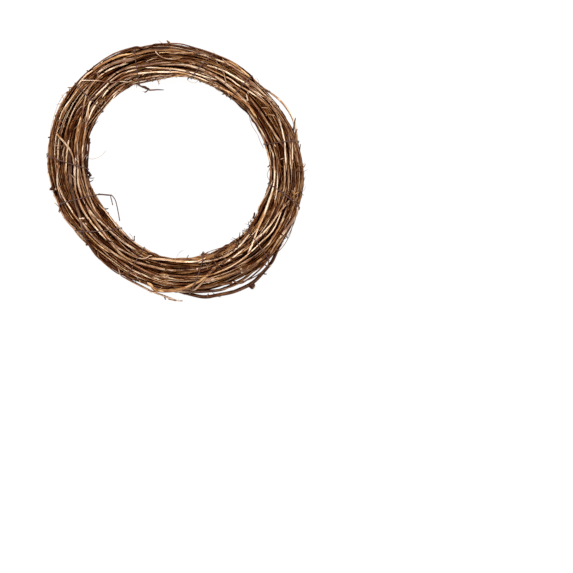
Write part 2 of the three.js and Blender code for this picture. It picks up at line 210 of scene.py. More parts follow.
def between(values, steps):
    """Passes a smooth curve through the values, with so many steps from each to the next."""
    values = np.asarray(values, float)
    padded = np.concatenate([2 * values[:1] - values[1:2], values, 2 * values[-1:] - values[-2:-1]])
    share = np.arange((len(values) - 1) * steps + 1) / steps
    start = np.minimum(share.astype(int), len(values) - 2)
    t = (share - start).reshape((-1,) + (1,) * (values.ndim - 1))
    a, b, c, d = (padded[start + k] for k in range(4))
    return (2 * b + (c - a) * t + (2 * a - 5 * b + 4 * c - d) * t ** 2
            + (3 * b - a - 3 * c + d) * t ** 3) / 2


def round_the_ring(first_plane, reach, height, planes):
    """The points of a line given by its distance from the axis and height in each plane."""
    angle = (first_plane + np.arange(len(reach))) / planes * math.tau
    return np.stack([reach * np.cos(angle), reach * np.sin(angle), height], axis=1)


def across_line(line):
    """Two directions across a line at each of its points, which don't twist along it."""
    along = np.gradient(line, axis=0)
    along /= np.linalg.norm(along, axis=1, keepdims=True)
    across = np.empty_like(line)
    direction = UP if abs(along[0, 2]) < 0.9 else np.array([1.0, 0.0, 0.0])
    for step, ahead in enumerate(along):
        direction = direction - ahead * direction.dot(ahead)
        direction = direction / np.linalg.norm(direction)
        across[step] = direction
    return across, np.cross(along, across), along


def lengths_along(line):
    """How far along a line each of its points is."""
    return np.concatenate([[0], np.cumsum(np.linalg.norm(np.diff(line, axis=0), axis=1))])


# Every stem is noted in each plane that it crosses: its distance from the axis, height, radius
# and number. What is laid later rests on these, and what lies between them gets painted shade.
cells = [[] for _ in range(PLANES)]
stems = 0


def note_stem(line, radii):
    """Notes a stem in the planes that it crosses, and returns its number."""
    global stems
    stems += 1
    turn = np.unwrap(np.arctan2(line[:, 1], line[:, 0])) / math.tau * PLANES
    order = slice(None) if turn[-1] > turn[0] else slice(None, None, -1)
    turn, line, radii = turn[order], line[order], np.asarray(radii)[order]
    planes = np.arange(math.ceil(turn[0] - 1e-6), math.floor(turn[-1] + 1e-6) + 1)
    reach = np.interp(planes, turn, np.hypot(line[:, 0], line[:, 1]))
    height = np.interp(planes, turn, line[:, 2])
    radius = np.interp(planes, turn, radii)
    for plane, *disc in zip(planes % PLANES, reach, height, radius):
        cells[plane].append((*disc, stems))
    return stems


# A stem's end is closed by rings that shrink to a point: flat on a cut end, round on any other.
CAP_SHRINK = (0, 0.45, 0.9)
CAP_BULGE = (0.9, 0.75, 0.35)
FINE_BELOW_SIDES = 6


def add_tube(line, radii, sides, tone, knot=0, peel=0, cut_tilt=(0, 0), blunt=(True, True), stem=0):
    """A closed stem along a line. radii holds the radius at each point, or at each point and
    side. Its attributes tell the bark where it is on the straightened stem, how pale it is, and
    where its knots, its bare wood and its cut ends are."""
    radii = np.asarray(radii, float)
    if radii.ndim == 1:
        radii = np.repeat(radii[:, None], sides, axis=1)
    rows = len(line)
    across, up, along = across_line(line)
    angle = np.arange(sides + 1) / sides * math.tau
    turned = np.arange(sides + 1) % sides
    out = across[:, None] * np.cos(angle)[None, :, None] + up[:, None] * np.sin(angle)[None, :, None]
    radii = radii[:, turned]
    shift = np.zeros_like(radii)
    shift[0] = cut_tilt[0] * radii[0] * np.cos(angle)
    shift[-1] = cut_tilt[1] * radii[-1] * np.cos(angle - 1)

    cap = 1 if sides < FINE_BELOW_SIDES else len(CAP_SHRINK)
    order = np.concatenate([[0] * cap, np.arange(rows), [rows - 1] * cap])
    shrink = np.ones(len(order))
    shrink[:cap] = CAP_SHRINK[:cap]
    shrink[-cap:] = CAP_SHRINK[:cap][::-1]
    bulge = np.zeros(len(order))
    if not blunt[0]:
        bulge[:cap] = np.negative(CAP_BULGE[:cap])
    if not blunt[1]:
        bulge[-cap:] = CAP_BULGE[:cap][::-1]
    scale = shrink[:, None]
    moved = shift[order] * scale + bulge[:, None] * radii[order]
    places = (line[order][:, None] + out[order] * (radii[order] * scale)[:, :, None]
              + along[order][:, None] * moved[:, :, None])
    start = lengths_along(line)[order][:, None] + moved + tube_random.uniform(0, 9)
    grain = np.stack([start, radii[order] * scale * np.cos(angle),
                      radii[order] * scale * np.sin(angle)], axis=2)

    bpy.ops.object.select_all(action="DESELECT")
    bpy.ops.mesh.primitive_grid_add(x_subdivisions=sides, y_subdivisions=len(order) - 1)
    mesh = bpy.context.object.data
    mesh.vertices.foreach_set("co", places.ravel())
    store = mesh.attributes.new("grain", "FLOAT_VECTOR", "POINT")
    store.data.foreach_set("vector", grain.ravel())
    is_cut = np.zeros(len(order))
    is_cut[:cap] = float(blunt[0])
    is_cut[-cap:] = float(blunt[1])
    cut = np.repeat(is_cut[:, None], sides + 1, axis=1)
    for name, value in (("tone", tone), ("knot", knot), ("peel", peel), ("cut", cut), ("stem", stem)):
        value = np.asarray(value, float)
        if value.ndim == 1:
            value = np.repeat(value[:, None], sides + 1, axis=1)
        if value.ndim == 2 and len(value) == rows:
            value = (value[:, turned] if value.shape[1] == sides else value)[order]
        values = np.broadcast_to(value, (len(order), sides + 1))
        store = mesh.attributes.new(name, "FLOAT", "POINT")
        store.data.foreach_set("value", np.ascontiguousarray(values).ravel())
    return bpy.context.object


pieces = []
SEAM = 1e-8
SMOOTH_BELOW = math.radians(50)


def finish_piece(name, tubes, material, slot, *nodes):
    """Joins the stems of a piece, closes their seams and gives it its bark and its place."""
    bpy.ops.object.select_all(action="DESELECT")
    for tube in tubes:
        tube.select_set(True)
    bpy.context.view_layer.objects.active = tubes[0]
    if len(tubes) > 1:
        bpy.ops.object.join()
    piece = bpy.context.object
    piece.name = name
    piece.data.name = name
    bpy.ops.object.mode_set(mode="EDIT")
    bpy.ops.mesh.select_all(action="SELECT")
    bpy.ops.mesh.remove_doubles(threshold=SEAM)
    bpy.ops.mesh.normals_make_consistent(inside=False)
    bpy.ops.object.mode_set(mode="OBJECT")
    bpy.ops.object.shade_smooth_by_angle(angle=SMOOTH_BELOW)
    piece.data.materials.clear()
    piece.data.materials.append(material)
    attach(piece, "root")
    if nodes:
        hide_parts(*nodes)
    pieces.append(piece)
    return piece


def colour(text):
    """A colour from its six hexadecimal digits, as the eye sees it."""
    shares = [int(text[at:at + 2], 16) / 255 for at in (0, 2, 4)]
    return [s / 12.92 if s <= 0.04045 else ((s + 0.055) / 1.055) ** 2.4 for s in shares] + [1.0]


def bark_material(name, pale, main, dark, wood, roughness, shine):
    """Dry bark: streaks of main and pale colour, dark fibres and strips along the stem, dark
    knots, bare wood where the bark is gone, pale cut ends with their pith, and painted shade,
    dark red-brown to near black and without reflection, where other stems close a place in."""
    material = bpy.data.materials.new(name)
    material.use_nodes = True
    nodes = material.node_tree.nodes
    link = material.node_tree.links.new
    shader = nodes["Principled BSDF"]

    def read(attribute, output):
        node = nodes.new("ShaderNodeAttribute")
        node.attribute_name = attribute
        return node.outputs[output]

    def noise(along, across, detail):
        mapping = nodes.new("ShaderNodeMapping")
        mapping.inputs["Scale"].default_value = (along, across, across)
        link(read("grain", "Vector"), mapping.inputs["Vector"])
        node = nodes.new("ShaderNodeTexNoise")
        node.inputs["Scale"].default_value = 1
        node.inputs["Detail"].default_value = detail
        link(mapping.outputs["Vector"], node.inputs["Vector"])
        return node.outputs["Fac"]

    def spread(value, low, high, to_low=0.0, to_high=1.0):
        node = nodes.new("ShaderNodeMapRange")
        node.interpolation_type = "SMOOTHSTEP"
        for socket, number in (("From Min", low), ("From Max", high),
                               ("To Min", to_low), ("To Max", to_high)):
            node.inputs[socket].default_value = number
        link(value, node.inputs["Value"])
        return node.outputs["Result"]

    def mix(share, one, two, blend="MIX"):
        node = nodes.new("ShaderNodeMix")
        node.data_type = "RGBA"
        node.blend_type = blend
        for socket, value in ((node.inputs[0], share), (node.inputs[6], one), (node.inputs[7], two)):
            if isinstance(value, (float, int, list)):
                socket.default_value = value
            else:
                link(value, socket)
        return node.outputs[2]

    def grey(value):
        node = nodes.new("ShaderNodeCombineColor")
        for socket in node.inputs:
            link(value, socket)
        return node.outputs["Color"]

    streaks = noise(55, 520, 3)
    strips = noise(42, 1100, 2)
    fibres = noise(110, 2400, 3)
    blotches = noise(190, 520, 2)
    flecks = noise(420, 1500, 2)
    clean = mix(spread(streaks, 0.4, 0.6), colour(main), colour(pale))
    body = mix(spread(strips, 0.5, 0.6, 0, 0.85), clean, colour(dark))
    body = mix(spread(fibres, 0.56, 0.38, 0, 0.75), body, colour(dark))
    body = mix(spread(blotches, 0.56, 0.68, 0, 0.65), body, colour(dark))
    body = mix(spread(read("tone", "Fac"), 0.7, 1, 0, 0.7), body, clean)
    body = mix(spread(read("peel", "Fac"), 0.3, 0.6, 0, 0.85), body, colour(wood))
    body = mix(spread(flecks, 0.68, 0.76, 0, 0.5), body, colour(wood))
    body = mix(spread(read("knot", "Fac"), 0.1, 1, 0, 0.75), body, colour(dark))
    # The stem's tone scales its colour; on the vines this tone also carries the painted shade of the
    # grooves.
    paleness_and_groove_shade = mix(spread(read("tone", "Fac"), 0, 1), [0.55, 0.33, 0.16, 1], [1.76, 1.68, 1.65, 1])
    body = mix(1.0, body, paleness_and_groove_shade, "MULTIPLY")
    # Painted shade: where other stems close a place in, the colour turns dark red-brown, and near black
    # where they close it in most.
    painted_shade = spread(read("openness_to_light", "Fac"), 0.85, 0.3)
    body = mix(painted_shade, body, mix(1.0, body, colour("702805"), "MULTIPLY"))
    deep = spread(read("openness_to_light", "Fac"), 0.5, 0.2, 0, 0.75)
    body = mix(deep, body, colour("120200"))
    from_middle = nodes.new("ShaderNodeVectorMath")
    from_middle.operation = "LENGTH"
    flat = nodes.new("ShaderNodeMapping")
    flat.inputs["Scale"].default_value = (0, 1, 1)
    link(read("grain", "Vector"), flat.inputs["Vector"])
    link(flat.outputs["Vector"], from_middle.inputs[0])
    pith = spread(from_middle.outputs["Value"], 0.2 * MM, 0.45 * MM)
    end = mix(pith, colour("6b4326"), mix(spread(flecks, 0.4, 0.7), colour("c79a66"), colour("e0c095")))
    body = mix(spread(read("cut", "Fac"), 0.4, 0.9), body, end)
    link(body, shader.inputs["Base Color"])

    link(spread(fibres, 0.3, 0.7, roughness + 0.15, roughness - 0.1), shader.inputs["Roughness"])
    # Painted shade: the reflection fades where other stems close a place in.
    link(spread(read("openness_to_light", "Fac"), 0.7, 1, 0, shine), shader.inputs["Specular IOR Level"])
    bump = nodes.new("ShaderNodeBump")
    bump.inputs["Strength"].default_value = 0.7
    bump.inputs["Distance"].default_value = 0.3 * MM
    link(mix(0.4, grey(fibres), grey(streaks)), bump.inputs["Height"])
    link(bump.outputs["Normal"], shader.inputs["Normal"])
    return material


BARKS = {
    "bark_tan": bark_material("bark_tan", "e8d6bb", "bd9468", "6b3515", "eddcc0", 0.5, 0.45),
    "bark_brown": bark_material("bark_brown", "b38958", "86562d", "401a05", "d2ae7e", 0.55, 0.33),
    "bark_dark": bark_material("bark_dark", "7f583c", "56301a", "240a01", "8a6747", 0.65, 0.2),
    "bark_grey": bark_material("bark_grey", "826652", "584135", "29150c", "876c58", 0.7, 0.15),
}

tube_random = np.random.default_rng(5)
vine_random = np.random.default_rng(11)
slot_of = {row["node"]: row["material_slot"] for row in frame["record"]["subparts"]}
# The waves in the bark: how far along a stem each goes on by one radian.
TWIST_OVER = 9 * MM
OVAL_OVER = 21 * MM
RIPPLE_OVER = 3.1 * MM
PATCH_OVER = 7 * MM
SCRAP_OVER = 2.6 * MM
# How deep the bark's forms are, as shares of the stem's radius.
RIDGE_DEPTH = 0.2
OVAL_DEPTH = 0.05
RIPPLE_DEPTH = 0.03
PEEL_DEPTH = 0.08
KNOT_SWELL, KNOT_LIP = 0.12, 0.35


def bark_relief(length, angle, radius, knots, random):
    """How the bark shapes a stem: ridges along it, patches where it has come off, and knots.
    Returns the share of the radius at each point and side, and where bare wood and knots are."""
    ridges = random.integers(4, 7)
    drift = random.uniform(-25, 25)
    phase = random.uniform(0, math.tau, 8)
    twisted = angle + drift * length + 0.5 * np.sin(length / TWIST_OVER + phase[0])
    share = 1 - RIDGE_DEPTH * (1 - np.abs(np.sin(ridges * twisted / 2 + phase[1]))) ** 3
    share += OVAL_DEPTH * np.cos(2 * angle + length / OVAL_OVER + phase[2])
    share += RIPPLE_DEPTH * np.sin(length / RIPPLE_OVER + 2 * np.sin(angle + phase[3]) + phase[4])
    patch = np.sin(length / PATCH_OVER + 1.2 * np.sin(angle + phase[5]) + phase[6])
    patch += 0.8 * np.sin(length / SCRAP_OVER + 2 * np.sin(angle * 2 + phase[7]))
    peel = np.clip((patch - random.uniform(0.6, 1.3)) / 0.3, 0, 1)
    share -= PEEL_DEPTH * peel
    knot = np.zeros_like(share)
    for place in knots:
        bud = random.uniform(0, math.tau)
        near = np.exp(-((length - place) / (1.3 * radius)) ** 2)
        lip = np.clip(np.cos(angle - bud), 0, 1) ** 3
        share += near * (KNOT_SWELL + KNOT_LIP * lip)
        knot = np.maximum(knot, near * (0.35 + 0.65 * lip))
    return share, peel, knot


STUB_ROWS, STUB_SIDES = 7, 8
STUB_KNOTTY = 0.45


def add_stub(root, tip, radius, tone, random, stem):
    """A cut side twig: thicker at its root, a little bent, with a blunt end."""
    share = np.linspace(0, 1, STUB_ROWS)
    bend = random.normal(0, 0.07, 3) * np.linalg.norm(tip - root)
    line = root + (tip - root) * share[:, None] + np.sin(share * math.pi)[:, None] * bend
    radii = radius * (1.1 - 0.3 * share + 0.1 * np.sin(share * 9 + random.uniform(0, 6)))
    uneven = 1 + 0.14 * random.normal(0, 1, (STUB_ROWS, STUB_SIDES))
    return add_tube(line, radii[:, None] * uneven, STUB_SIDES, tone, knot=STUB_KNOTTY,
                    cut_tilt=(0, random.normal(0, CUT_SLANT)), stem=stem)


for node_name in sorted(slot_of):
    if node_name == "tie_wire":
        continue
    slot_name = slot_of[node_name]
    first_plane, rings, side_twigs = read_vine(frame["nodes"][node_name])
    halfway = (rings[:-2, 2] + rings[2:, 2]) / 2
    is_node = np.zeros(len(rings), bool)
    is_node[1:-1] = rings[1:-1, 2] > NODE_SWELLS * halfway
    rings[1:-1, 2] = np.where(is_node[1:-1], halfway, rings[1:-1, 2])
    fine = between(rings, STEPS)
    step = np.arange(len(fine))
    to_end = np.minimum(step, step[::-1])
    fades = np.clip(to_end / STEADY_END, 0, 1)
    for column in (0, 1):
        for wave in vine_random.uniform(*SWAY_STEPS, 3):
            turn = step / wave * math.tau + vine_random.uniform(0, 6)
            fine[:, column] += fades * SWAY / 2 * np.sin(turn)
    line = round_the_ring(first_plane * STEPS, fine[:, 0], fine[:, 1], PLANES)
    fine[:, 2] *= OWN_SLENDER.get(node_name, SLENDER)
    stem = note_stem(line, fine[:, 2])
    length = lengths_along(line)
    sides = THICK_SIDES if fine[:, 2].mean() > THICK_VINE else THIN_SIDES
    angle = np.arange(sides) / sides * math.tau
    share, peel, knot = bark_relief(
        length[:, None], angle[None], fine[:, 2].mean(), length[::STEPS][is_node], vine_random)
    low, high = STEM_TONE[slot_name]
    tone = OWN_TONE.get(node_name, vine_random.uniform(low, high))
    tone = tone + TONE_DRIFT * np.sin(length / TONE_DRIFT_OVER + vine_random.uniform(0, 6))
    # Painted shade: the tone drops in the grooves and bare patches that sink into the bark.
    tone = tone[:, None] - GROOVE_PAINTED_SHADE * np.maximum(GROOVE_BELOW - share, 0)
    tapers = 0.5 + 0.5 * np.sqrt(np.clip(to_end / THIN_END, 0, 1))[:, None]
    tubes = [add_tube(line, fine[:, 2:] * share * tapers, sides, tone, knot, peel,
                      cut_tilt=vine_random.uniform(-CUT_SLANT, CUT_SLANT, 2), stem=stem)]
    places = np.empty(len(tubes[0].data.vertices) * 3)
    tubes[0].data.vertices.foreach_get("co", places)
    places[2::3] = np.maximum(places[2::3], 0)
    tubes[0].data.vertices.foreach_set("co", places)
    for root, tip, radius in side_twigs:
        tubes.append(add_stub(root, tip, radius, tone.mean(), vine_random, stem))
    finish_piece(node_name + "_bark", tubes, BARKS[slot_name], slot_name, node_name)

# Thin shoots, 1 to 2 mm thick, that the maker wound round the vines last. These lie in the valleys
# on the sides and underside of the bundle, where the wire holds them.
SHOOTS = 26
SHOOT_RADII = [0.55, 0.7, 0.85, 1.05]
SHOOT_SPAN = (0.25, 0.8)
SHOOT_SIDES = [(-75, 0), (180, 255)]
SHOOT_BARKS = {"bark_tan": 0.5, "bark_brown": 0.35, "bark_dark": 0.15}
SHOOT_TONE_DRIFT = 0.08
SHOOT_TONE_DRIFT_OVER = 20 * MM
SHOOT_GAP = 0.1 * MM
SHOOT_STIFFNESS = 0.5
SHOOT_PULL = 0.03
SETTLING_ROUNDS = 220
LAST_ROUNDS = 8
COARSE_PLANES = PLANES // 2
LOOSE_VINES = 4
SMOOTHED_EACH_WAY = 10
BUNDLE_TOP = 29.8 * MM

# The bundle's section in each plane, without the four loose vines: the middle of its width, half
# its width, the middle of its height and half its height.
limits = np.array([
    [min(r - radius for r, _, radius, _ in row), max(r + radius for r, _, radius, _ in row),
     min(z - radius for _, z, radius, _ in row), max(z + radius for _, z, radius, _ in row)]
    for row in ([disc for disc in row if disc[3] > LOOSE_VINES] for row in cells)])
limits = np.mean([np.roll(limits, turn, axis=0)
                  for turn in range(-SMOOTHED_EACH_WAY, SMOOTHED_EACH_WAY + 1)], axis=0)
section = np.stack([(limits[:, 0] + limits[:, 1]) / 2, (limits[:, 1] - limits[:, 0]) / 2,
                    (limits[:, 2] + limits[:, 3]) / 2, (limits[:, 3] - limits[:, 2]) / 2], axis=1)


def padded(rows):
    """The rows as one array, filled up with discs that are far away."""
    most = max(len(row) for row in rows)
    return np.array([list(row) + [(10.0, 10.0, 0.0, -1)] * (most - len(row)) for row in rows])


shoot_random = np.random.default_rng(31)
shoots = []
for number in range(SHOOTS):
    rows = int(shoot_random.uniform(*SHOOT_SPAN) * COARSE_PLANES)
    first = int(shoot_random.integers(COARSE_PLANES))
    radius = shoot_random.choice(SHOOT_RADII) * MM
    turn = np.arange(rows) / COARSE_PLANES
    facing = math.radians(shoot_random.choice([shoot_random.uniform(*side) for side in SHOOT_SIDES]))
    lay = shoot_random.choice([-1, 1]) * shoot_random.uniform(0.02, 0.15)
    wave = shoot_random.uniform(0.02, 0.06) * np.sin(
        turn * math.tau * shoot_random.uniform(1.5, 4) + shoot_random.uniform(0, 6))
    bearing = facing + math.tau * (lay * turn + wave)
    middle, half_width, height, half_height = section[2 * (first + np.arange(rows)) % PLANES].T
    aim = np.stack([middle + np.cos(bearing) * (half_width - 2.5 * radius),
                    height + np.sin(bearing) * (half_height - radius)], axis=1)
    outward = np.stack([np.cos(bearing), np.sin(bearing)], axis=1)
    shoots.append({"plane": first, "aim": aim, "start": aim + outward * (2 + number * 0.03) * MM,
                   "radius": np.linspace(1.15, 0.8, rows) * radius,
                   "slot": str(shoot_random.choice(list(SHOOT_BARKS), p=list(SHOOT_BARKS.values())))})


def settle_shoots(shoots):
    """Draws the shoots onto the bundle and keeps them clear of the vines and of each other."""
    plane = np.concatenate([(s["plane"] + np.arange(len(s["aim"]))) % COARSE_PLANES for s in shoots])
    place = np.concatenate([s["start"] for s in shoots])
    aim = np.concatenate([s["aim"] for s in shoots])
    radius = np.concatenate([s["radius"] for s in shoots])
    sizes = [len(s["aim"]) for s in shoots]
    is_end = np.zeros(len(plane), bool)
    ends = np.cumsum(sizes)
    is_end[ends - 1] = True
    is_end[ends - sizes] = True
    inner = np.flatnonzero(~is_end)
    in_plane = [np.flatnonzero(plane == p) for p in range(COARSE_PLANES)]
    width = max(len(row) for row in in_plane)
    others = np.array([list(row) + [-1] * (width - len(row)) for row in in_plane])[plane]
    is_other = (others >= 0) & (others != np.arange(len(plane))[:, None])
    here = np.arange(len(plane))
    vines_here = padded(cells[::2])[plane]
    middle, half_width, _, _ = section[2 * plane].T
    innermost, outermost = middle - half_width, middle + half_width
    for turn in range(SETTLING_ROUNDS):
        if turn < SETTLING_ROUNDS - LAST_ROUNDS:
            halfway = (place[inner - 1] + place[inner + 1]) / 2
            place[inner] += SHOOT_STIFFNESS * (halfway - place[inner])
            place += SHOOT_PULL * (aim - place)
        for moving, others_place, others_radius, allowed in (
                (1.0, vines_here[:, :, :2], vines_here[:, :, 2], None),
                (0.5, place[others], radius[others], is_other)):
            gap = place[:, None] - others_place
            distance = np.linalg.norm(gap, axis=2) + 1e-9
            deep = radius[:, None] + others_radius + SHOOT_GAP - distance
            if allowed is not None:
                deep = np.where(allowed, deep, -1)
            worst = np.argmax(deep, axis=1)
            push = np.maximum(deep[here, worst], 0) / distance[here, worst] * moving
            place += gap[here, worst] * push[:, None]
        place[:, 0] = np.clip(place[:, 0], innermost + radius, outermost - radius)
        place[:, 1] = np.clip(place[:, 1], radius + SHOOT_GAP, BUNDLE_TOP - radius)
    start = 0
    for shoot in shoots:
        shoot["place"] = place[start:start + len(shoot["aim"])]
        start += len(shoot["aim"])


def add_shoot(line, radii, tone, random, sides=8, blunt=(True, True)):
    """A thin shoot with its nodes, noted among the stems."""
    length = lengths_along(line)
    knots = np.arange(random.uniform(0.005, 0.03), length[-1], random.uniform(0.02, 0.045))
    angle = np.arange(sides) / sides * math.tau
    share, peel, knot = bark_relief(length[:, None], angle[None], np.mean(radii) * 1.3, knots, random)
    tones = tone + SHOOT_TONE_DRIFT * np.sin(length / SHOOT_TONE_DRIFT_OVER + random.uniform(0, 6))
    return add_tube(line, np.asarray(radii)[:, None] * share, sides, tones, knot, peel, blunt=blunt,
                    stem=note_stem(line, radii))


settle_shoots(shoots)
shoot_tubes = {}
for shoot in shoots:
    fine = between(np.column_stack([shoot["place"], shoot["radius"]]), 2)
    line = round_the_ring(shoot["plane"] * 2, fine[:, 0], fine[:, 1], PLANES)
    low, high = STEM_TONE[shoot["slot"]]
    shoot_tubes.setdefault(shoot["slot"], []).append(
        add_shoot(line, fine[:, 2], shoot_random.uniform(low, high + 0.15), shoot_random))
for slot_name, tubes in shoot_tubes.items():
    finish_piece(slot_name.replace("bark", "side_shoots"), tubes, BARKS[slot_name], slot_name)

# The strands that show on top: thin vines and shoots whose bark has worn to pale wood. Each is
# laid over what is already there and stays where the photograph shows it. A strand is its bark,
# its radius in millimetres, how pale it is, and some points along it, each in degrees round the
# ring and pixels from its centre. Below these lie finer ones by a seeded rule, and a few above.
STRAND_STEP = 1.5 * MM
STRAND_ROUNDS = 50
STRAND_TAIL = 5 * MM
TAIL_WITHIN = 0.93
STRAND_DIVE = 2.6 * MM
UNDER_STRANDS = 130
OVER_STRANDS = 6
UNDER_TOP = 27.8 * MM
STRAND_TOP = 29.2 * MM
UNDER_RADII_MM, OVER_RADII_MM = (0.3, 0.52), (0.25, 0.4)
UNDER_BARKS = {"bark_tan": 0.35, "bark_brown": 0.5, "bark_dark": 0.15}
OVER_BARKS = {"bark_tan": 0.6, "bark_brown": 0.4}
UNDER_SPAN, OVER_SPAN = (20, 80), (20, 40)
STRAND_TONE = (0.15, 0.7)
STRAND_POINTS = 8
BAND_SHARE = 0.93
STRAND_TAPER = 0.12
WORN_THIN = 0.88
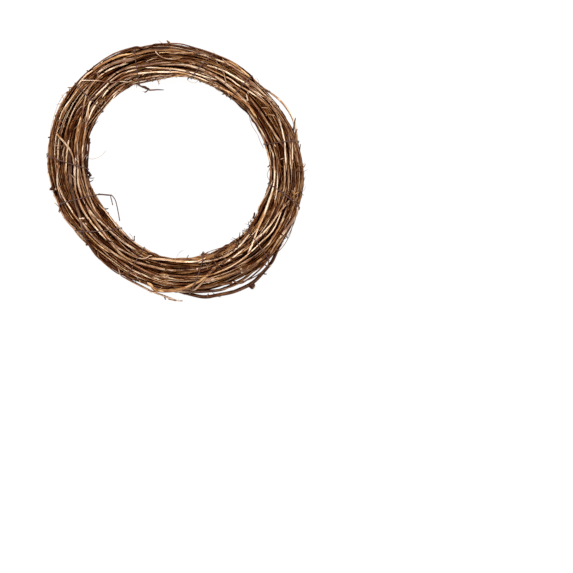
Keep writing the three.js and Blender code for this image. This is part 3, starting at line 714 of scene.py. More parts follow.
STRANDS = [
    ("bark_dark", 0.6, 0.75, [(50, 121.6), (61, 122.9), (72, 123.4), (84, 126), (90, 128),
                              (102, 129.6)]),
    ("bark_dark", 0.6, 0.75, [(106, 130.6), (118, 133.2), (130, 133), (142, 133), (154, 131.6),
                              (160, 130.3)]),
    ("bark_grey", 1.5, 0.7, [(170, 107.5), (181, 105.6), (187, 105.8), (199, 105.4), (204, 105.6),
                              (209, 107.6), (213, 109.4)]),
    ("bark_dark", 1.3, 0.4, [(214, 110.5), (219, 112.5), (224, 114.2), (230, 115.1), (244, 115.6),
                             (251, 115.2), (257, 115.9), (263, 117.2), (268, 118)]),
    ("bark_brown", 1.4, 0.75, [(258, 120.8), (263, 120.3), (269, 119.2), (275, 116.8), (280, 113.8),
                               (285, 110.4), (290, 106), (294, 103.4), (298, 102.6)]),
    ("bark_brown", 1.3, 0.6, [(291, 115.2), (296, 116.4), (301, 117.6), (306, 119.8), (311, 121.5),
                              (316, 122.4)]),
    ("bark_dark", 0.8, 0.5, [(44, 93), (50, 92.9), (55, 92.4), (60, 91.6)]),
    ("bark_dark", 0.8, 0.5, [(157, 94.6), (161, 92), (165, 90.4), (170, 89.4), (175, 89), (180, 88)]),
    ("bark_tan", 1.2, 0.5, [(44, 98.5), (50, 98.4), (55, 99.2), (60, 100.6), (65, 101.9), (70, 103.2),
                            (75, 104.7), (80, 105.4), (86, 106.3), (97, 106.9)]),
    ("bark_tan", 1.0, 0.45, [(14, 109.2), (17, 107.4), (20, 105.6), (24, 104.5), (28, 103.4), (33, 103),
                             (38, 103.1), (44, 103.8)]),
    ("bark_brown", 1.0, 0.8, [(36, 97), (41, 97.7), (46, 97), (50, 95.6), (56, 94.8), (62, 94.8)]),
    ("bark_brown", 1.1, 0.8, [(53, 119.6), (58, 120.6), (62, 122), (65, 122.6)]),
    ("bark_brown", 0.9, 0.8, [(112, 126), (117, 128.2), (122, 129.3), (127, 130.2), (138, 131.6)]),
    ("bark_tan", 1.3, 0.35, [(111, 119.5), (115, 121.4), (119, 123.4), (123, 125), (126, 125.2)]),
    ("bark_tan", 1.15, 0.6, [(205, 95.6), (210, 95), (215, 94.6), (220, 95), (225, 96), (230, 97.4),
                             (235, 98.8), (240, 99.8), (246, 99.3), (251, 98.6), (262, 98.6),
                             (268, 99.4)]),
    ("bark_tan", 1.1, 0.5, [(211, 105.9), (217, 105.3), (223, 104.2), (229, 103.2), (235, 102.5),
                            (241, 102), (247, 102.4), (251, 103.6), (256, 104.9), (262, 106.3),
                            (274, 109)]),
    ("bark_brown", 1.2, 0.8, [(150, 108.5), (154, 106.8), (159, 105.6), (164, 104), (169, 102.6)]),
    ("bark_brown", 0.8, 0.8, [(262, 104), (268, 104.6), (275, 105.8), (280, 107), (285, 108.6),
                              (289, 109)]),
    ("bark_tan", 0.85, 0.65, [(-2, 95.2), (3, 94.8), (8, 94), (13, 93.4), (18, 93.2), (22, 93.8)]),
    ("bark_tan", 0.9, 0.6, [(2, 98.6), (8, 98.8), (13, 98.2), (18, 96.6), (22, 95.2), (26, 94.6)]),
    ("bark_tan", 0.7, 0.75, [(2, 116), (5, 116.6), (8, 117.3), (12, 119), (15, 119.9)]),
    ("bark_tan", 0.7, 0.6, [(3, 114.7), (7, 115.2), (11, 116.4), (14, 117.5), (19, 119)]),
    ("bark_tan", 0.75, 0.9, [(2, 110), (6, 110.4), (10, 110.9), (15, 112.4), (20, 113.4), (25, 114.7),
                             (30, 115.9), (35, 116.4), (39, 115.6), (42, 113.6), (46, 111.5)]),
    ("bark_tan", 0.75, 0.75, [(35.5, 112.8), (38, 111.4), (42, 109.9), (46, 108.6), (50, 107.1),
                              (54, 106.1), (60, 106.8), (63, 106), (66, 106.5), (74, 107.4)]),
    ("bark_tan", 0.9, 0.45, [(38, 117.5), (43, 116.4), (47, 115.4), (50, 114.2), (53, 112.9)]),
    ("bark_tan", 0.75, 0.95, [(51, 112.3), (54, 111.2), (58, 110.8), (63, 111), (68, 110.7),
                              (72, 110.2)]),
    ("bark_tan", 0.9, 0.4, [(57, 118.3), (63, 118.9), (69, 118.4), (75, 118.3), (81, 119.2),
                            (91, 117.4)]),
    ("bark_tan", 0.75, 0.85, [(67, 99.4), (70, 98.4), (74, 98.7), (79, 99.6), (84, 100.2), (88, 101.3),
                              (92, 102.5), (96, 103.2), (101, 105.2), (106, 107.6)]),
    ("bark_tan", 0.8, 0.9, [(73, 95.6), (78, 96.6), (83, 97.6), (88, 99), (96, 99.7), (100, 100.6),
                            (104, 101.9), (108, 103), (112, 104.6), (116, 106.6), (120, 107.6),
                            (125, 106.7), (130, 105.8), (134, 104.4)]),
    ("bark_tan", 0.8, 0.4, [(84, 94.9), (90, 95.6), (96, 96.4), (102, 97.2), (107, 98)]),
    ("bark_tan", 0.85, 0.6, [(94, 108.9), (99, 109.3), (104, 109.5), (108, 110.4), (112, 112.2),
                             (116, 113.6), (120, 114.6), (124, 114.3), (129, 113), (140, 112.4)]),
    ("bark_tan", 0.7, 1.0, [(112, 109.2), (116, 110.4), (120, 111.2), (125, 110.9), (130, 109.9),
                            (136, 109.7), (141, 109.6), (144, 108), (148, 104.8), (152, 102.5)]),
    ("bark_tan", 0.8, 0.6, [(117, 101), (121, 102.6), (126, 102.2), (131, 101), (135, 99.6)]),
    ("bark_tan", 0.7, 0.85, [(123, 99.9), (128, 99.1), (133, 98.4)]),
    ("bark_tan", 0.7, 0.85, [(131, 131.4), (134, 131.2), (137, 130.8)]),
    ("bark_tan", 0.8, 0.7, [(141, 110.4), (145, 106.6), (149, 102.4), (153, 100.4), (158, 98.4),
                            (164, 96.5), (170, 94.9), (176, 93.6), (181, 92.2), (186, 91.1),
                            (192, 90.5), (198, 90), (204, 89.4), (210, 88.8)]),
    ("bark_tan", 0.75, 1.0, [(140.5, 103.9), (144, 103.2), (147.5, 101.8)]),
    ("bark_tan", 0.75, 0.85, [(165, 111), (169, 110.3), (174, 109.8), (179, 109.6)]),
    ("bark_tan", 0.95, 0.9, [(174, 100.6), (181, 101.1), (186, 101.3), (191, 101.8), (196, 101.2),
                             (201, 100.6), (206, 99.8), (211, 98.8), (216, 97.8), (221, 97.4)]),
    ("bark_tan", 0.9, 0.7, [(177, 97.8), (187, 98), (192, 97.6), (197, 96.7), (202, 95.2), (207, 93.8),
                            (211, 92), (215, 90.5), (218, 89.6)]),
    ("bark_tan", 0.7, 0.75, [(187, 118.4), (190, 116.6), (194, 114.6), (198, 112.4), (202, 110.6),
                             (206, 109)]),
    ("bark_tan", 0.6, 0.6, [(178, 117.4), (182, 118.4), (187, 118.8), (191, 118.2)]),
    ("bark_tan", 1.0, 0.55, [(224, 95.4), (229, 95.8), (234, 95.8), (240, 95.2), (246, 94.6),
                             (250, 93.4)]),
    ("bark_tan", 1.0, 0.5, [(217, 89.5), (222, 89), (227, 88.5), (232, 88.3), (237, 88), (242, 88.4)]),
    ("bark_brown", 0.6, 0.9, [(214, 108.8), (219, 107.6), (224, 106.6), (229, 105.2)]),
    ("bark_tan", 0.9, 1.0, [(255, 90.6), (260, 89.4), (265, 89.2), (270, 90), (275, 91), (280, 92),
                            (284, 92.8), (287, 92.2)]),
    ("bark_tan", 0.85, 0.9, [(286, 94.4), (290, 95.7), (294, 97.2), (299, 98.4), (304, 98.6),
                             (309, 98.2), (314, 97.8), (318, 97)]),
    ("bark_tan", 0.6, 1.0, [(292, 109.4), (298, 109.8), (304, 110.1), (310, 110), (316, 110.3),
                            (321, 111), (326, 113), (330, 113.7), (335, 113.1), (339, 112.6)]),
    ("bark_tan", 0.7, 0.7, [(295, 103.2), (300, 104), (304, 103.4), (308, 103.2)]),
    ("bark_tan", 0.8, 0.9, [(312.5, 108.3), (316, 106.2), (319, 103.6), (323, 101), (328, 99.3),
                            (333, 98.7), (338, 98.6), (343, 98)]),
    ("bark_tan", 0.8, 0.65, [(319, 105), (324, 106.8), (329, 108.4), (334, 109.7), (338, 111.2),
                             (342, 114), (346, 117.3)]),
    ("bark_tan", 0.9, 0.4, [(314, 128.3), (317, 126.4), (320, 124.7), (324, 123.3), (328, 122.5)]),
    ("bark_tan", 1.1, 0.75, [(329, 123.7), (332, 124.6), (336, 126.2), (340, 127.7), (343, 127.9)]),
    ("bark_tan", 0.8, 0.75, [(336, 98), (342, 97.7), (348, 98.4), (354, 98.9), (360, 98.7), (366, 98.6)]),
    ("bark_tan", 0.55, 0.6, [(333, 89), (338, 90.4), (343, 92.3), (348, 94.5), (352, 95.9)]),
    ("bark_tan", 0.55, 0.8, [(344, 103.2), (349, 102.7), (355, 102), (361, 101.6), (366, 101.4)]),
    ("bark_tan", 0.7, 0.6, [(350, 113.8), (355, 113.2), (360, 112.6)]),
    ("bark_tan", 0.8, 0.5, [(351, 109.3), (357, 109.2), (363, 108.6)]),
    ("bark_tan", 0.55, 0.7, [(128, 97.4), (134, 96), (140, 95.7), (146, 96.2), (151, 96.6)]),
    ("bark_tan", 0.5, 0.5, [(130, 98.6), (134, 97.9), (140, 97.7), (146, 98.2), (150, 98.8)]),
    ("bark_tan", 0.5, 1.0, [(146.5, 127.2), (149, 127.8), (152, 127.9), (155, 127.4)]),
    ("bark_dark", 0.7, 0.75, [(298, 129.2), (302, 129.8), (307, 129.6), (313, 128.6), (318, 126.6)]),
    ("bark_brown", 0.7, 0.6, [(86, 96), (91, 94.9), (96, 94.3), (101, 94), (107, 94.3), (112, 95.4),
                              (117, 97)]),
    ("bark_tan", 0.5, 0.5, [(92, 96), (98, 95.4), (104, 95.4), (110, 96.2), (115, 97.6)]),
    ("bark_tan", 0.6, 0.5, [(186, 88), (192, 86), (198, 83.6), (204, 81.8), (210, 80.6), (216, 79.8),
                            (222, 79.8)]),
    ("bark_tan", 0.5, 1.0, [(206, 81.8), (211, 80.9), (216, 80.5), (221, 80.7), (225, 81.2)]),
    ("bark_dark", 0.55, 0.6, [(226, 115.3), (231, 116.2), (237, 117.2), (243, 118)]),
    ("bark_tan", 0.5, 0.45, [(240, 117.4), (246, 118.6), (252, 120.2), (258, 122), (263, 124)]),
    ("bark_dark", 0.8, 0.5, [(251, 86.4), (254, 85), (257.5, 84.9), (260, 86.4)]),
    ("bark_grey", 0.55, 0.8, [(274, 120.2), (279, 121.8), (284, 123.5), (290, 126.4), (296, 128.2),
                              (301, 129), (306, 131.4), (312, 132.4), (317, 130.2)]),
    ("bark_tan", 0.75, 0.55, [(116, 118.4), (120, 120), (124, 121.2), (129, 121.5), (134, 120.6),
                              (138, 118.6), (142, 115), (146, 111.5), (150, 108), (155, 105.2),
                              (160, 103.4), (165, 101.8), (170, 99.6), (175, 97.6)]),
    ("bark_tan", 0.9, 0.45, [(277.5, 122.3), (280, 118.8), (283, 115), (286, 110.6), (289, 107),
                             (292, 104), (295, 102.3)]),
    ("bark_tan", 0.95, 0.5, [(162, 126), (163.5, 121.5), (165, 116.5), (167, 111), (169.5, 106.4),
                             (173, 103.2), (177, 101.3)]),
]


def on_ring(degrees, pixels, z=0.0):
    """The place in the frame of a spot on the photographed ring, at a height in metres."""
    angle = math.radians(degrees)
    return np.array([pixels * PIXEL * math.cos(angle), pixels * PIXEL * math.sin(angle), z])


def evenly(line, step):
    """The same line with its points a step apart."""
    length = lengths_along(line)
    marks = np.linspace(0, length[-1], max(int(length[-1] / step), 3) + 1)
    return np.stack([np.interp(marks, length, line[:, axis]) for axis in range(3)], axis=1)


def eased(line, rounds):
    """The line with its bends eased, some rounds over."""
    for _ in range(rounds):
        line[1:-1] += 0.5 * ((line[:-2] + line[2:]) / 2 - line[1:-1])
    return line


def laid_over(route, radius, top, tail=STRAND_TAIL, step=STRAND_STEP):
    """Lowers a route onto the stems below it, taut between the highest of them, with no part of it
    above the top. With a tail, both ends go on a little way and dive between the others. Returns
    the line and how thick it is."""
    line = evenly(between(np.array([on_ring(*place) for place in route]), 8), step)
    if tail:
        more = []
        for end, near in ((line[0], line[1]), (line[-1], line[-2])):
            ahead = (end - near) / np.linalg.norm(end - near)
            across_ring = abs(ahead @ end) / np.linalg.norm(end)
            more.append(end + ahead * tail * max(1 - 1.5 * across_ring, 0.15))
        line = evenly(np.concatenate([more[:1], line, more[1:]]), step)
    line = eased(line, 2)
    reach = np.hypot(line[:, 0], line[:, 1])
    plane = np.round(np.arctan2(line[:, 1], line[:, 0]) / math.tau * PLANES).astype(int) % PLANES
    if tail:
        middle, half_width, _, _ = section[plane].T
        kept = np.clip(reach, middle - TAIL_WITHIN * half_width, middle + TAIL_WITHIN * half_width)
        length = lengths_along(line)
        is_tail = np.minimum(length, length[-1] - length) < tail
        line[is_tail, :2] *= (kept / reach)[is_tail, None]
        reach = np.hypot(line[:, 0], line[:, 1])
    near = padded([cells[p] for p in plane])
    aside = near[:, :, 0] - reach[:, None]
    room = (near[:, :, 2] + radius + SHOOT_GAP) ** 2 - aside ** 2
    rests = np.where(room > 0, near[:, :, 1] + np.sqrt(np.maximum(room, 0)), 0)
    rests = np.where(near[:, :, 3] > 0, rests, 0).max(axis=1)
    middle, half_width, height, half_height = section[plane].T
    across = np.clip((reach - middle) / half_width, -0.98, 0.98)
    rests = np.maximum(rests, height + 0.7 * half_height * np.sqrt(1 - across ** 2))
    line[:, 2] = rests
    for _ in range(STRAND_ROUNDS):
        line[1:-1, 2] = np.maximum(rests[1:-1], (line[:-2, 2] + line[2:, 2]) / 2)
    line = eased(line, 2)
    thickness = np.ones(len(line))
    if tail:
        length = lengths_along(line)
        left = np.minimum(length, length[-1] - length)
        line[:, 2] -= STRAND_DIVE * np.clip(1 - left / (1.5 * tail), 0, 1) ** 2
        thickness = 0.4 + 0.6 * np.clip(left / tail, 0, 1)
    line[:, 2] = np.minimum(line[:, 2], top - 1.2 * radius)
    return line, thickness


strand_random = np.random.default_rng(8)
strand_tubes = {}
for number in range(UNDER_STRANDS + len(STRANDS) + OVER_STRANDS):
    if UNDER_STRANDS <= number < UNDER_STRANDS + len(STRANDS):
        slot_name, radius_mm, tone, route = STRANDS[number - UNDER_STRANDS]
        radius_mm *= WORN_THIN if slot_name == "bark_tan" else 1
        top = STRAND_TOP
    else:
        under = number < UNDER_STRANDS
        barks = UNDER_BARKS if under else OVER_BARKS
        slot_name = str(strand_random.choice(list(barks), p=list(barks.values())))
        radius_mm = strand_random.uniform(*(UNDER_RADII_MM if under else OVER_RADII_MM))
        top = UNDER_TOP if under else STRAND_TOP
        tone = strand_random.uniform(*STRAND_TONE)
        start = strand_random.uniform(0, 360)
        span = strand_random.uniform(*(UNDER_SPAN if under else OVER_SPAN))
        share = np.linspace(0, 1, STRAND_POINTS)
        degrees = start + span * share
        bearing = strand_random.uniform(-BAND_SHARE, BAND_SHARE)
        bearing += strand_random.normal(0, 0.18) * (share - 0.5)
        bearing += 0.04 * np.sin(share * 6 + strand_random.uniform(0, 6))
        middle, half_width, _, _ = section[(degrees / 360 * PLANES).astype(int) % PLANES].T
        pixels = (middle + half_width * np.clip(bearing, -0.96, 0.96)) / PIXEL
        route = list(zip(degrees, pixels))
    line, thickness = laid_over(route, radius_mm * MM, top)
    radii = radius_mm * MM * thickness * (1 + STRAND_TAPER * np.linspace(1, -1, len(line)))
    sides = 10 if radius_mm > 1 else 8 if radius_mm > 0.5 else 6
    strand_tubes.setdefault(slot_name, []).append(
        add_shoot(line, radii, tone, strand_random, sides=sides, blunt=(False, False)))
for slot_name, tubes in strand_tubes.items():
    finish_piece(slot_name.replace("bark", "top_strands"), tubes, BARKS[slot_name], slot_name)

# Side twigs that stick up or out: thin shoots that cross the top, cut stubs with pale ends, and
# the dark one across the hole. Each grew out of a vine and was cut short by the maker.
# A twig is its bark, its radius at the root and at the tip, how pale it is, and its route.
TWIG_STEP = 0.8 * MM
TWIGS = [
    ("bark_tan", 0.5, 0.42, 0.7, [(118, 101.4), (121, 104.5), (124, 107.4), (127, 111), (130, 117.4),
                                  (133, 123.6), (136, 130.5)]),
    ("bark_tan", 0.65, 0.5, 0.55, [(88, 111.9), (92, 112), (95.3, 112.8), (97.5, 115.2), (99.2, 118.8),
                                   (99.6, 121)]),
    ("bark_tan", 0.4, 0.38, 0.45, [(130.4, 119.5), (130, 121.5), (129, 123.5), (128.8, 126),
                                   (129.6, 127.6), (131.2, 127.8)]),
    ("bark_tan", 0.6, 0.5, 0.5, [(29.4, 113), (30.6, 110.5), (31.6, 107.5), (31.5, 105)]),
    ("bark_tan", 0.5, 0.4, 0.5, [(34.4, 111), (35.6, 108.6), (36.6, 106.4)]),
    ("bark_tan", 0.6, 0.4, 0.8, [(44.5, 101), (46, 102.6), (47.5, 104)]),
    ("bark_tan", 0.55, 0.4, 0.4, [(60.5, 102.5), (62.5, 105.5), (63.5, 108.6), (65, 110)]),
    ("bark_brown", 0.55, 0.35, 0.8, [(174, 119.6), (175.5, 118.4), (177, 116)]),
    ("bark_brown", 0.6, 0.45, 0.9, [(162.4, 124), (163.4, 122), (164, 119)]),
    ("bark_tan", 0.6, 0.45, 0.6, [(329, 124), (329.4, 121), (329.3, 118.4)]),
    ("bark_tan", 0.6, 0.5, 0.6, [(250, 93), (252, 91.5), (252, 88.5), (254, 87.6)]),
    ("bark_brown", 0.6, 0.45, 0.7, [(346, 118), (349, 121), (350.3, 124.6)]),
    ("bark_brown", 0.5, 0.4, 0.8, [(345, 121.6), (348.4, 120.2), (351, 120.8)]),
    ("bark_dark", 0.5, 0.4, 0.25, [(305.5, 98), (309, 95.4), (312, 90.6)]),
    ("bark_dark", 0.5, 0.3, 0.25, [(308.5, 98), (311.6, 94.4), (314, 91), (316.4, 88.4)]),
    ("bark_dark", 0.65, 0.55, 0.3, [(320.5, 95.4), (323.9, 92.6), (326.8, 89.6)]),
    ("bark_dark", 0.95, 0.7, 0.5, [(294.5, 93), (297, 91.2), (299.8, 90.4), (302, 92)]),
]
# A stub is its bark, its radius, how pale it is, and its root and tip, each in degrees, pixels and
# millimetres above the table.
STUBS = [
    ("bark_brown", 1.3, 0.6, (290.5, 119.5, 22), (296.8, 125.4, 22.5)),
    ("bark_dark", 1.7, 0.5, (303, 135.5, 14), (303.6, 140.3, 15)),
    ("bark_dark", 1.0, 0.5, (305, 134, 14), (304.2, 139, 15.5)),
    ("bark_brown", 0.8, 0.6, (92.5, 127, 17), (94, 131, 18)),
    ("bark_brown", 0.5, 0.6, (141, 132, 17), (142.3, 137.2, 18)),
    ("bark_brown", 0.6, 0.5, (131.6, 131, 17), (131.4, 134.8, 18)),
    ("bark_dark", 1.3, 0.6, (187.4, 124, 17), (188.6, 127, 18)),
    ("bark_brown", 0.5, 0.6, (195.5, 121.5, 17), (199.6, 123.7, 18)),
    ("bark_brown", 0.55, 0.7, (19, 124, 17), (24, 130.9, 18)),
    ("bark_brown", 0.5, 0.6, (14, 122.5, 17), (19.3, 128.4, 18)),
    ("bark_brown", 0.45, 0.6, (7, 123, 17), (12.4, 127.4, 17)),
    ("bark_brown", 0.45, 0.7, (1, 125, 17), (3, 129.4, 17)),
    ("bark_dark", 0.6, 0.4, (56, 94, 15), (59, 90.1, 15)),
    ("bark_brown", 0.55, 0.5, (73.6, 96, 15), (75.2, 92.4, 15)),
    ("bark_brown", 0.6, 0.5, (81.4, 96, 15), (83, 92.8, 15)),
    ("bark_dark", 0.6, 0.5, (103.6, 97, 15), (104.8, 93, 15)),
    ("bark_brown", 1.0, 0.5, (113.2, 97, 15), (113.4, 93.2, 15)),
    ("bark_dark", 1.3, 0.4, (159.4, 94, 17), (162.6, 91.4, 16)),
    ("bark_dark", 1.2, 0.4, (180, 90, 15), (183.4, 86.4, 15)),
    ("bark_grey", 0.35, 0.5, (184.2, 88, 15), (184.4, 82.2, 15)),
    ("bark_grey", 0.35, 0.5, (186.8, 87, 15), (185.6, 83.4, 15)),
    ("bark_dark", 0.5, 0.5, (207.6, 81, 15), (208.7, 77.4, 15)),
    ("bark_dark", 0.5, 0.5, (238.6, 81, 15), (237.2, 76.8, 15)),
    ("bark_dark", 0.5, 0.4, (247.6, 87, 15), (249.6, 84.2, 15)),
    ("bark_dark", 1.2, 0.4, (286.6, 89.5, 15), (289, 85.8, 15)),
    ("bark_dark", 0.7, 0.3, (328.4, 90.2, 15), (332.4, 88.7, 15)),
    ("bark_brown", 0.6, 0.5, (284, 130.2, 14), (284.8, 126.5, 14)),
    ("bark_brown", 0.6, 0.6, (264.6, 125.5, 14), (265.3, 129, 14)),
    ("bark_tan", 0.6, 0.7, (266.6, 127.7, 14), (272.8, 129.6, 13)),
    ("bark_brown", 0.5, 0.6, (313.4, 128, 18), (314.4, 133, 19)),
    ("bark_brown", 0.5, 0.5, (172.6, 126, 17), (172.2, 131, 17)),
]
# The same on top, with the heights above what lies there.
TOP_STUBS = [
    ("bark_tan", 1.9, 0.6, (285.2, 113.2, 0), (289.4, 114.6, 1.5)),
    ("bark_tan", 0.95, 1.0, (303.8, 117, 0.8), (303.1, 120.8, 2)),
    ("bark_tan", 0.8, 1.0, (113.2, 122, 0), (115, 123, 0.4)),
    ("bark_tan", 0.6, 1.0, (207.3, 103, 0.1), (206.1, 107.3, 0.5)),
    ("bark_tan", 0.5, 0.9, (209.8, 104.4, 0), (211, 103.6, 0.5)),
    ("bark_tan", 0.85, 0.7, (238.8, 112.6, -0.2), (241.4, 111.6, 0.5)),
    ("bark_dark", 1.0, 0.3, (150.4, 128.8, -0.2), (152, 129.4, 0.5)),
    ("bark_dark", 0.9, 0.4, (129, 125, -0.2), (130.4, 126, 0.4)),
    ("bark_dark", 0.8, 0.4, (292.4, 105.4, -0.2), (293.8, 104.8, 0.5)),
    ("bark_dark", 0.8, 0.4, (241.4, 113, -0.2), (242.6, 112.4, 0.4)),
    ("bark_brown", 0.7, 0.5, (335.8, 121.6, -0.2), (337.2, 122.4, 0.6)),
    ("bark_tan", 0.7, 0.9, (112.4, 100.4, -0.2), (114.8, 101.6, 0.6)),
    ("bark_dark", 0.8, 0.5, (188.4, 121, -0.3), (189.6, 124, 0.5)),
    ("bark_brown", 0.6, 0.7, (158.4, 127, -0.2), (160, 123.4, 0.7)),
]
STUB_HEADROOM = 1.45
# The twig across the hole, with its knob and its spur, and their radii.
HOLE_TWIG = [
    (113.6, 96.5), (112.6, 92.6), (110.6, 90), (109, 87.6), (107.4, 85.3), (103, 84), (98.6, 82.6)]
HOLE_TWIG_MM = [0.6, 0.65, 1.05, 1.0, 0.65, 0.5, 0.3]
HOLE_TWIG_SPUR = [(109, 86.4), (110.4, 85.4), (112, 85)]
HOLE_TWIG_SPUR_MM = [0.5, 0.45, 0.3]
HOLE_TWIG_TONE = 0.6
HOLE_TWIG_HEIGHT = 14.8 * MM

twig_random = np.random.default_rng(17)
twig_tubes = {}
for slot_name, root_mm, tip_mm, tone, route in TWIGS:
    line, _ = laid_over(route, root_mm * MM, BUNDLE_TOP, tail=0, step=TWIG_STEP)
    radii = np.linspace(root_mm, tip_mm, len(line)) * MM
    twig_tubes.setdefault(slot_name, []).append(
        add_shoot(line, radii, tone, twig_random, blunt=(False, True)))
for slot_name, radius_mm, tone, root, tip in STUBS:
    ends = [on_ring(degrees, pixels, z_mm * MM) for degrees, pixels, z_mm in (root, tip)]
    twig_tubes.setdefault(slot_name, []).append(
        add_stub(*ends, radius_mm * MM, tone, twig_random, 0))
for slot_name, radius_mm, tone, root, tip in TOP_STUBS:
    ends = []
    highest = BUNDLE_TOP - STUB_HEADROOM * radius_mm * MM
    for degrees, pixels, rise_mm in (root, tip):
        rings = np.array(cells[int(degrees / 360 * PLANES)])
        room = np.maximum(rings[:, 2] ** 2 - (rings[:, 0] - pixels * PIXEL) ** 2, 0)
        over = (rings[:, 1] + np.sqrt(room))[room > 0].max()
        ends.append(on_ring(degrees, pixels, min(over + rise_mm * MM, highest)))
    twig_tubes.setdefault(slot_name, []).append(
        add_stub(*ends, radius_mm * MM, tone, twig_random, 0))
for route, radii_mm in ((HOLE_TWIG, HOLE_TWIG_MM), (HOLE_TWIG_SPUR, HOLE_TWIG_SPUR_MM)):
    line = between([on_ring(*place, HOLE_TWIG_HEIGHT) for place in route], 6)
    radii = between(radii_mm, 6) * MM
    uneven = 1 + 0.1 * twig_random.normal(0, 1, (len(line), STUB_SIDES))
    twig_tubes.setdefault("bark_dark", []).append(
        add_tube(line, radii[:, None] * uneven, STUB_SIDES, HOLE_TWIG_TONE,
                 knot=np.clip(radii / MM - 0.7, 0, 1), blunt=(False, True)))
for slot_name, tubes in twig_tubes.items():
    finish_piece(slot_name.replace("bark", "cut_twigs"), tubes, BARKS[slot_name], slot_name)

# Tendrils and hairs: the vine's own thin curling holdfasts, dry, that stand off the edges.
# A tendril is its radius in millimetres, how pale it is, and its route.
TENDRIL_SIDES = 5
TENDRILS = [
    (0.17, 0.3, [(15, 90.5), (20, 89.3), (24, 89.6), (28, 88.8), (30, 88.6), (33, 89.3), (36, 91),
                 (38.5, 93)]),
    (0.17, 0.8, [(143, 133), (144.5, 135.6), (147, 136.3), (151, 135.8), (156, 134), (161, 132.5),
                 (166, 130)]),
    (0.28, 0.5, [(319, 127), (321, 129.5), (325, 130.8), (330, 130.5), (333, 129.5), (337, 128)]),
    (0.25, 0.4, [(328, 128), (330, 129.2), (334, 129), (338, 128.8), (341, 127)]),
    (0.13, 0.9, [(163, 73), (166, 74.5), (169, 77.5), (171, 82), (172, 86), (170.5, 90)]),
    (0.2, 0.4, [(354, 95), (355.5, 92.5), (358, 91), (361, 93), (363, 95)]),
    (0.3, 0.3, [(288, 88), (291, 86.8), (297, 87.6), (301, 89), (304, 90.6)]),
    (0.13, 0.5, [(60, 92), (62, 90.6), (65, 92), (68, 94)]),
    (0.13, 0.9, [(76, 94), (77.5, 90.6), (80, 90.4), (83, 92)]),
    (0.13, 0.9, [(98, 96), (100, 92), (101.5, 91)]),
    (0.13, 0.6, [(106, 84.6), (108, 86), (112, 85.6), (112.6, 87)]),
    (0.13, 0.9, [(270, 90), (271, 84), (273.5, 80), (275.5, 79.6)]),
    (0.13, 0.8, [(46, 120), (48.5, 123.5), (49.5, 122)]),
    (0.13, 0.8, [(70, 121), (72.5, 125), (73.4, 127)]),
    (0.13, 0.7, [(150, 128), (153, 133), (155, 131)]),
    (0.13, 0.5, [(238, 82), (236, 78.4), (233, 77.8)]),
    (0.13, 0.6, [(350, 126), (351.6, 129.6), (353.4, 130.4)]),
]
hairs = []
for radius_mm, tone, route in TENDRILS:
    line, _ = laid_over(route, radius_mm * MM, BUNDLE_TOP, tail=0, step=TWIG_STEP)
    hairs.append(add_tube(
        eased(line, 1), np.full(len(line), radius_mm * MM), TENDRIL_SIDES, tone, blunt=(False, False)))
finish_piece("tendrils", hairs, BARKS["bark_brown"], "bark_brown")

# Shreds of old bark that have come loose and lie on the vines at all angles, and dried buds. One
# of each is a few millimetres long, and there are hundreds.
SHREDS = 640
BUDS = 150
MESSY_SHREDS = 360
SHRED_LONG_MM, BUD_LONG_MM = (3, 11), (1.4, 2.8)
SHRED_RADII_MM, BUD_RADII_MM = (0.14, 0.32), (0.4, 0.8)
SHRED_SHAPE, BUD_SHAPE = np.array([0.6, 1.0, 1.1, 0.9, 0.3]), np.array([0.5, 1.0, 1.1, 0.8, 0.45])
SHRED_SIDES, BUD_SIDES = 4, 6
SHRED_LIFT_MM = 0.9
SHRED_SUNK_MM = 0.3
SHRED_BARKS = {"bark_tan": 0.3, "bark_brown": 0.45, "bark_dark": 0.25}
SHRED_TONE = (0.2, 0.9)
SHRED_SWING, MESSY_SWING = 20, 38
ON_TOP, ALL_ROUND = (40, 140), (-60, 240)
SHARE_ON_TOP = 0.7
# Where the vines are untidy: from and to in degrees, and in pixels from the ring's centre.
MESSY = [(0, 22, 100, 126), (62, 84, 106, 121), (100, 118, 95, 104), (135, 139, 100, 105),
         (150, 172, 108, 127), (288, 300, 96, 106), (306, 330, 90, 97), (342, 360, 100, 126),
         (342, 366, 112, 127)]


def surface_spot(plane, bearing, aside):
    """Where a straight look at the bundle meets a stem, in one plane, which way its surface faces
    there, and which way is along the ring; nothing if it meets none. The look comes from a bearing
    and is shifted aside by a share of the bundle."""
    rings = np.array(cells[plane])
    middle, half_width, height, half_height = section[plane]
    out = np.array([math.cos(bearing), math.sin(bearing)])
    side = np.array([-out[1], out[0]])
    origin = np.array([middle, height]) + side * aside * (
        abs(side[0]) * half_width + abs(side[1]) * half_height)
    gap = rings[:, :2] - origin
    room = rings[:, 2] ** 2 - (gap @ side) ** 2
    front = np.where(room > 0, gap @ out + np.sqrt(np.maximum(room, 0)), -1)
    best = np.argmax(front)
    if room[best] <= 0:
        return None
    place = origin + out * front[best]
    facing = (place - rings[best, :2]) / rings[best, 2]
    angle = plane / PLANES * math.tau
    outward = np.array([math.cos(angle), math.sin(angle), 0])
    ahead = np.array([-math.sin(angle), math.cos(angle), 0])
    return outward * place[0] + UP * place[1], outward * facing[0] + UP * facing[1], ahead


